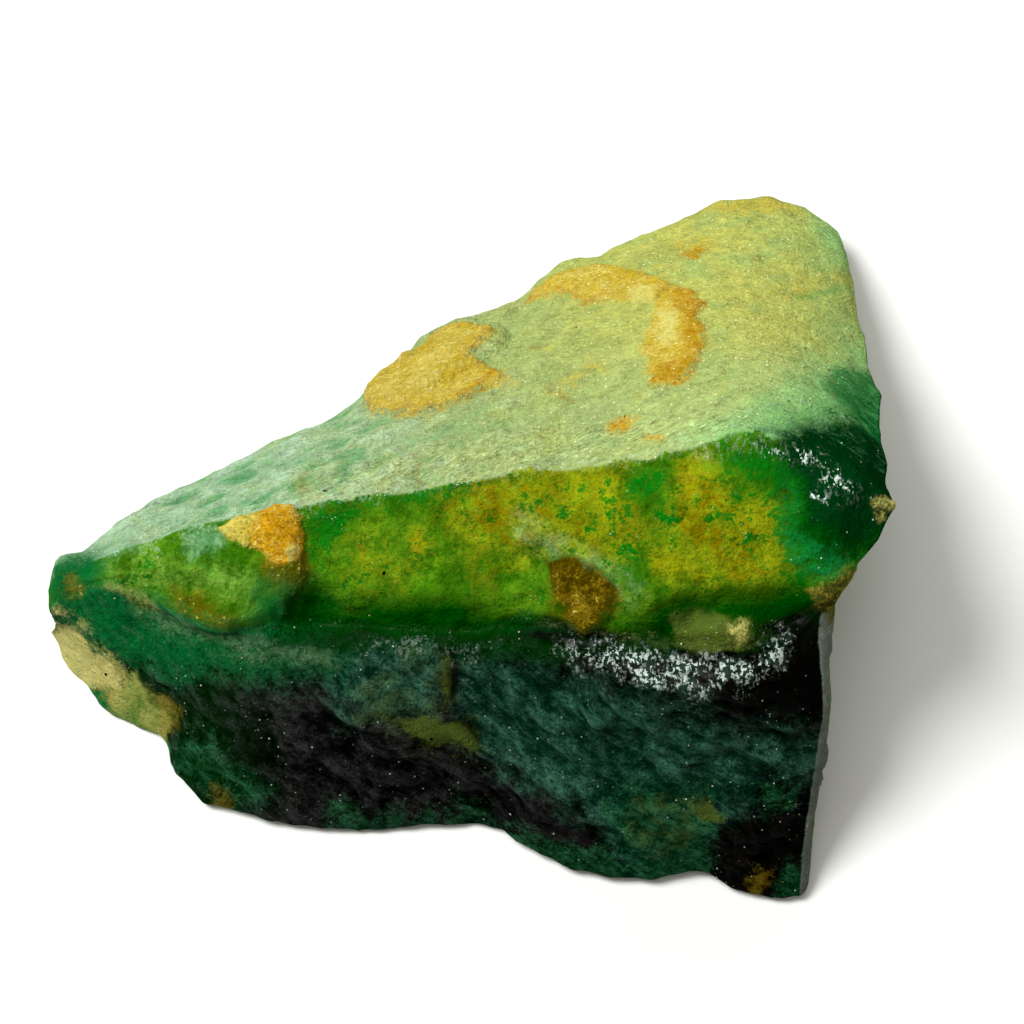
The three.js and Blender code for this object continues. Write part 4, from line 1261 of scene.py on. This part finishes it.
def plate_layers(rock):
    """The honey plates and branch, and the amber block with its orange side."""
    field = rock.field("honey")
    centre = field.rise(0.5, 2.2) * (rock.clouds + rock.mottle * 0.6 + rock.crumbs * 0.5).rise(-0.2, 0.2)
    rind = (1.3 - field).rise(0.0, 1.3) * (rock.mottle + rock.specks * 0.8 + 0.1).rise(0.0, 0.25)
    honey = rock.layers(
        HONEY,
        (PALE_HONEY, (rock.patchy * 0.9 + rock.mottle * 0.7 + rock.crumbs * 0.6).rise(-0.14, 0.2)),
        (IVORY, centre * 0.22),
        (ORANGE, rind * (rock.patchy + rock.clouds * 0.8 + rock.mottle * 0.4).rise(-0.16, 0.16) * 0.8),
        (UMBER, (rock.specks * 0.9 + rock.mottle * 0.7 - rock.patchy * 0.5).rise(0.14, 0.28) * 0.55),
    )
    honey = rock.shade(honey, 0.98 + rock.sugar * 0.3)
    # painted glints: bright straw-white specks over the honey
    honey = rock.mix(honey, STRAW_GLINT, (0 - rock.specks - rock.mottle * 0.3).rise(0.2, 0.3) * 0.5)
    amber = rock.layers(
        PALE_HONEY,
        (GOLD, (rock.x + rock.patchy * 8 + rock.mottle * 5).rise(-20.5, -17)),
        (TAN, (rock.x + rock.patchy * 4).rise(-17.4, -15.6) * 0.9),
        (CREAM, (rock.mottle + rock.specks * 1.1 + rock.patchy * 0.4).rise(0.02, 0.2) * 0.8),
        (UMBER, (rock.patchy * 0.6 - rock.mottle - rock.specks * 0.9).rise(0.06, 0.26) * 0.8),
    )
    orange = rock.mix(ORANGE, AMBER, (rock.mottle + rock.sugar * 0.3).rise(-0.05, 0.3))
    return (
        (honey, (field + rock.ragged * 1.1 + rock.sugar * 0.5).rise(-0.4, 0.4) * 0.93),
        (rock.shade(amber, 0.98 + rock.sugar * 0.4), rock.inside("amber", 0.2, 0.35)),
        (orange, rock.inside("orange", 0.5, 1.8) * (0.25 + rock.speckle * 0.7)),
    )


def chip_layers(rock):
    """The brown chips, the olive and lichen patches, a black line of painted shadow beside the slab and
    above the tongue, the ivory and lime flank, and small spots of mint with painted white glints,
    cream with a painted glint on the block, gold dust and umber, whose line along the block's right
    edge is partly painted shadow."""
    straw = rock.mix(OLIVE, GOLD, (rock.mottle + rock.specks * 0.8).rise(-0.1, 0.2))
    brown = rock.layers(
        BROWN,
        (OCHRE, (rock.field("gold") * 0.12 + rock.patchy * 0.7 + rock.mottle + rock.crumbs).rise(-0.2, 0.3)),
        (GOLD, (rock.specks + rock.mottle * 0.8 + rock.wisps * 0.4).rise(0.1, 0.3) * 0.4),
        (straw, rock.x.rise(18, 20) * 0.75),
    )
    shading = 0.74 + rock.mottle * 1.2 + rock.specks * 0.6 + rock.patchy * 0.8 + rock.sugar * 0.35
    border = (1.2 - rock.field("ivory")).rise(0.0, 1.2)
    ivory = rock.layers(
        IVORY,
        (PALE_LIME, (rock.patchy + rock.clouds * 0.6 - rock.mottle * 0.3).rise(0.0, 0.3) * 0.5),
        (OCHRE, border * (rock.mottle + rock.patchy).rise(-0.05, 0.25) * 0.6),
    )
    ivory = rock.shade(ivory, 1.0 + rock.mottle * 0.8 + rock.crumbs * 0.7)
    flank = rock.mix(PALE_LIME, CREAM, (rock.mottle + rock.patchy + 0.1).rise(-0.2, 0.3) * 0.6)
    lichen = rock.inside("lichen", 0.8, 2.6) * (rock.mottle + rock.patchy + rock.crumbs * 0.5).rise(-0.2, 0.3)
    olive = rock.inside("olive", 0.3, 0.7) * (0.55 + rock.mottle * 0.9 + (rock.x + 2).rise(-6, 1) * 0.2)
    mint = rock.inside("mint", 0.8, 1.6)
    gilt = rock.inside("gold", 0.8, 1.4)
    dust = (rock.mottle * 0.5 + rock.specks * 0.9 + gilt * 0.2).rise(0.30, 0.42)
    return (
        (rock.shade(brown, shading), rock.inside("chip", 0.3, 0.8)),
        (OLIVE, lichen * 0.4),
        (rock.mix(OLIVE, LIME, (rock.mottle + rock.crumbs).rise(0.0, 0.3)), olive),
        # painted shadow beside the slab and above the tongue
        (BLACK, rock.inside("dark_line", 0.2, 0.4) * 0.8),
        (flank, rock.inside("lime", 0.5, 0.8) * rock.on_front),
        (ivory, rock.inside("ivory", 0.4, 0.9) * 0.93),
        (OCHRE, rock.inside("ochre", 0.6, 2.0) * 0.45),
        (SEA_GREEN, mint * 0.75),
        (MINT, mint * (rock.mottle + rock.specks * 0.5 + rock.patchy * 0.4).rise(-0.04, 0.2) * 0.85),
        # painted glints in the mint patch
        (GLINT_WHITE, mint * (rock.specks + rock.mottle * 0.5).rise(0.2, 0.28) * 0.6),
        (CREAM, rock.inside("cream", 0.35, 0.8) * (0.45 + rock.speckle * 0.5)),
        (rock.mix(GOLD, PALE_HONEY, gilt), dust * (0.5 + gilt * 0.4) * (1 - rock.on_front * 0.8)),
        (UMBER, rock.inside("umber", 0.5, 1.8) * (0.3 + rock.speckle * 0.4)),
    )


def painted_highlight_layers(rock, shelf_glints):
    """Painted highlights: white strokes in clumps over the dark shelf, which carries a painted sheen,
    and fine white flakes along the ridges and on the boss, all painted glints.
    """
    # painted glints along the ridges and edges
    edge_glints = rock.inside("edge_glints", 0.7, 1.6)
    # painted glints on the boss
    boss_glints = rock.inside("boss_glints", 0.3, 0.7)
    clumps = (rock.patchy + rock.mottle * 0.6 + rock.crumbs * 0.3).rise(-0.14, 0.1)
    strokes = (rock.comb * 1.2 + rock.specks * 0.25 - abs(rock.curls) * 0.9).rise(-0.05, 0.02) * clumps
    flakes = (rock.specks + rock.crumbs * 0.6 + rock.mottle * 0.4).rise(0.24, 0.29)
    return (
        (rock.mix(BLACK, SHEEN, clumps * 0.5), shelf_glints * 0.8),
        (GLINT_WHITE, strokes * (shelf_glints * 1.2 + boss_glints * 0.9 + edge_glints * 0.15)),
        (GLINT_WHITE, flakes * (shelf_glints + edge_glints + boss_glints)),
    )


def glint_layers(rock):
    """Painted glints: straw-white ones over the top and the band and pinpoint white ones on the dark
    faces, and a few black specks of the stone's own."""
    sparks = rock.glints(rock.mm, 0.36, 0.085, 0.5)
    sparks = sparks * (rock.patchy + rock.clouds * 0.6 + rock.mottle * 0.3).rise(-0.02, 0.3)
    on_top = (1 - rock.on_band) * (1 - rock.on_front)
    bright = rock.glints(rock.mm, 0.5, 0.125, 0.8)
    bright = bright * (rock.x + rock.clouds * 50 + rock.patchy * 30).rise(-28, 18)
    bright = bright * on_top * (1 - rock.inside("sea", 1.0, 1.0, -2.0))
    dark = rock.on_front + rock.inside("boss", 1.0, 1.0, 1.0) + rock.inside("bottle", 1.0, 1.0)
    stars = rock.glints(rock.mm, 0.7, 0.1, 0.6) * dark * (rock.clouds + rock.patchy + 0.2).rise(0.0, 0.3)
    return (
        (rock.mix(STRAW_GLINT, PALE_HONEY, rock.on_band * 0.4), sparks * (1 - rock.on_front * 0.3)),
        (STRAW_GLINT, bright),
        (GLINT_WHITE, stars),
        (BLACK, rock.cells.rise(0.9996, 0.9998)),
    )


def finest_relief(rock):
    """Crumbs and mottling everywhere, flowing ripples on the front and brushed streaks on the top, as
    one height. It is quieter on the band and on the right of the top."""
    front = rock.field("front").rise(-1.5, 1.5)
    top = (1 - front) * (0 - rock.field("band")).rise(-1.0, 1.0)
    band = 1 - front - top
    calm = top * rock.rightwards
    waves = rock.flow * front * 1.2 + rock.brushed * top * 0.4
    return (
        rock.crumbs * (0.40 - calm * 0.15 - band * 0.28)
        + rock.mottle * (0.8 + front * 0.4 - calm * 0.4 - band * 0.25) + waves
    )


def stone_material():
    """The stone's colours: each face has its own clouded ground, pigments lie over it with ragged
    borders, and painted highlights on the shelf and ridges and painted glints come last."""
    material = bpy.data.materials.new("fluorite")
    rock = StoneNodes(material)
    back, wall, face = back_and_wall(rock)
    # painted highlights over the shelf; the same mask lowers roughness and adds coat
    shelf_glints = rock.inside("shelf_glints", 0.9, 2.0)
    colour = rock.layers(
        top_colour(rock),
        (band_colour(rock), rock.on_band),
        (front_colour(rock), rock.on_front),
        *edge_layers(rock),
        (back, rock.inside("back", 0.8) * 0.85),
        (DEEP, rock.inside("base", 0.8)),
        (wall, face),
        *plate_layers(rock),
        *chip_layers(rock),
        *painted_highlight_layers(rock, shelf_glints),
        (wall, face * (BARE_HEIGHT - rock.z + rock.patchy * 5).rise(0.0, 1.5)),
        *glint_layers(rock),
    )
    bump = {"Strength": 1.0, "Distance": BUMP_DEPTH * MM, "Height": finest_relief(rock)}
    surface = rock.add(
        "ShaderNodeBsdfPrincipled", None,
        {"Base Color": colour, "Roughness": 0.42 + rock.crumbs * 0.3 - shelf_glints * 0.15,
         "Normal": rock.add("ShaderNodeBump", None, bump), "IOR": 1.434, "Specular IOR Level": 0.0,
         "Coat Weight": shelf_glints * 0.4 + rock.on_front * rock.crest_highlight * 0.08, "Coat Roughness": 0.26,
         "Coat IOR": 1.43},
    )
    rock.add("ShaderNodeOutputMaterial", None, {"Surface": surface})
    return material


def make_stone():
    """The stone's object, moved from its own frame in millimetres onto the CAD solid's box. Gives back
    the place where its own origin ends up."""
    skin, fields = stone_skin()
    low, high = skin.min((0, 1)), skin.max((0, 1))
    middle = (np.array(stone_box[0]) + np.array(stone_box[1])) / 2
    shift = middle - (low + high) / 2 * MM
    shift[2] = stone_box[0][2]
    stone = closed_mesh("fluorite_stone", skin * MM + shift, fields)
    stone.data.materials.append(stone_material())
    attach(stone, "root")
    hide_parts("fluorite")
    return Vector(shift)


# ---------------------------------------------------------------- stage

FLOOR_HALF = 3.0       # half the floor's width in metres
# Lamps: azimuth and elevation in degrees, distance and width in metres, and power in watts. Azimuth 0
# is in front, 90 on the right.
LAMPS = {
    "key lamp": (-102, 57, 0.6, 0.28, 3.9),
    "back lamp": (175, 30, 0.7, 0.5, 1.6),
    "top lamp": (-30, 80, 0.8, 0.7, 1.4),
}
AIR_COLOUR = (1, 0.97, 0.70, 1)  # faint light from all round
AIR_STRENGTH = 0.17
FOCAL_LENGTH = 85      # millimetres, as is the sensor's width
SENSOR_WIDTH = 36
CAMERA_ELEVATION = 64  # degrees above the floor
CAMERA_DISTANCE = 0.20266  # metres
CAMERA_REACH = (0.01, 20)  # nearest and farthest that the camera sees, in metres
AIM = (-0.3, 0, 9)     # where the camera looks, in millimetres in the stone's own frame


def direction(azimuth, elevation):
    """The unit direction from the stone towards an azimuth and an elevation in degrees."""
    side, up = math.radians(azimuth), math.radians(elevation)
    return Vector((math.sin(side) * math.cos(up), -math.cos(side) * math.cos(up), math.sin(up)))


def place_facing(piece, target, away, distance):
    """Put a lamp or a camera at a distance from its target, turned to face it."""
    piece.location = target + away * distance
    piece.rotation_euler = (-away).to_track_quat("-Z", "Y").to_euler()
    bpy.context.scene.collection.objects.link(piece)


def make_floor():
    """A wide pale floor under the stone."""
    mesh = bpy.data.meshes.new("floor")
    corners = [(x * FLOOR_HALF, y * FLOOR_HALF, 0) for x, y in ((-1, -1), (1, -1), (1, 1), (-1, 1))]
    mesh.from_pydata(corners, [], [(0, 1, 2, 3)])
    floor = bpy.data.objects.new("floor", mesh)
    bpy.context.scene.collection.objects.link(floor)
    material = bpy.data.materials.new("pale floor")
    nodes = Nodes(material)
    surface = nodes.add(
        "ShaderNodeBsdfPrincipled", None,
        {"Base Color": (0.9, 0.9, 0.9, 1), "Roughness": 0.8, "Specular IOR Level": 0.1},
    )
    nodes.add("ShaderNodeOutputMaterial", None, {"Surface": surface})
    mesh.materials.append(material)


def make_lamp(name, target, azimuth, elevation, distance, size, power):
    """A round soft lamp that faces the stone."""
    lamp = bpy.data.lights.new(name, "AREA")
    lamp.shape, lamp.size, lamp.energy = "DISK", size, power
    place_facing(bpy.data.objects.new(name, lamp), target, direction(azimuth, elevation), distance)


def make_air():
    """Faint warm light from all round."""
    world = bpy.data.worlds.new("studio")
    bpy.context.scene.world = world
    nodes = Nodes(world)
    glow = nodes.add("ShaderNodeBackground", None, {"Color": AIR_COLOUR, "Strength": AIR_STRENGTH})
    nodes.add("ShaderNodeOutputWorld", None, {"Surface": glow})
    bpy.context.scene.view_settings.view_transform = "Standard"


def make_camera(target):
    """The camera stands in front of the stone and looks down on it."""
    lens = bpy.data.cameras.new("camera")
    lens.lens, lens.sensor_width = FOCAL_LENGTH, SENSOR_WIDTH
    lens.clip_start, lens.clip_end = CAMERA_REACH
    camera = bpy.data.objects.new("camera", lens)
    place_facing(camera, target, direction(0, CAMERA_ELEVATION), CAMERA_DISTANCE)
    bpy.context.scene.camera = camera


aim = make_stone() + Vector(AIM) * MM
make_floor()
for name, settings in LAMPS.items():
    make_lamp(name, aim, *settings)
make_air()
make_camera(aim)
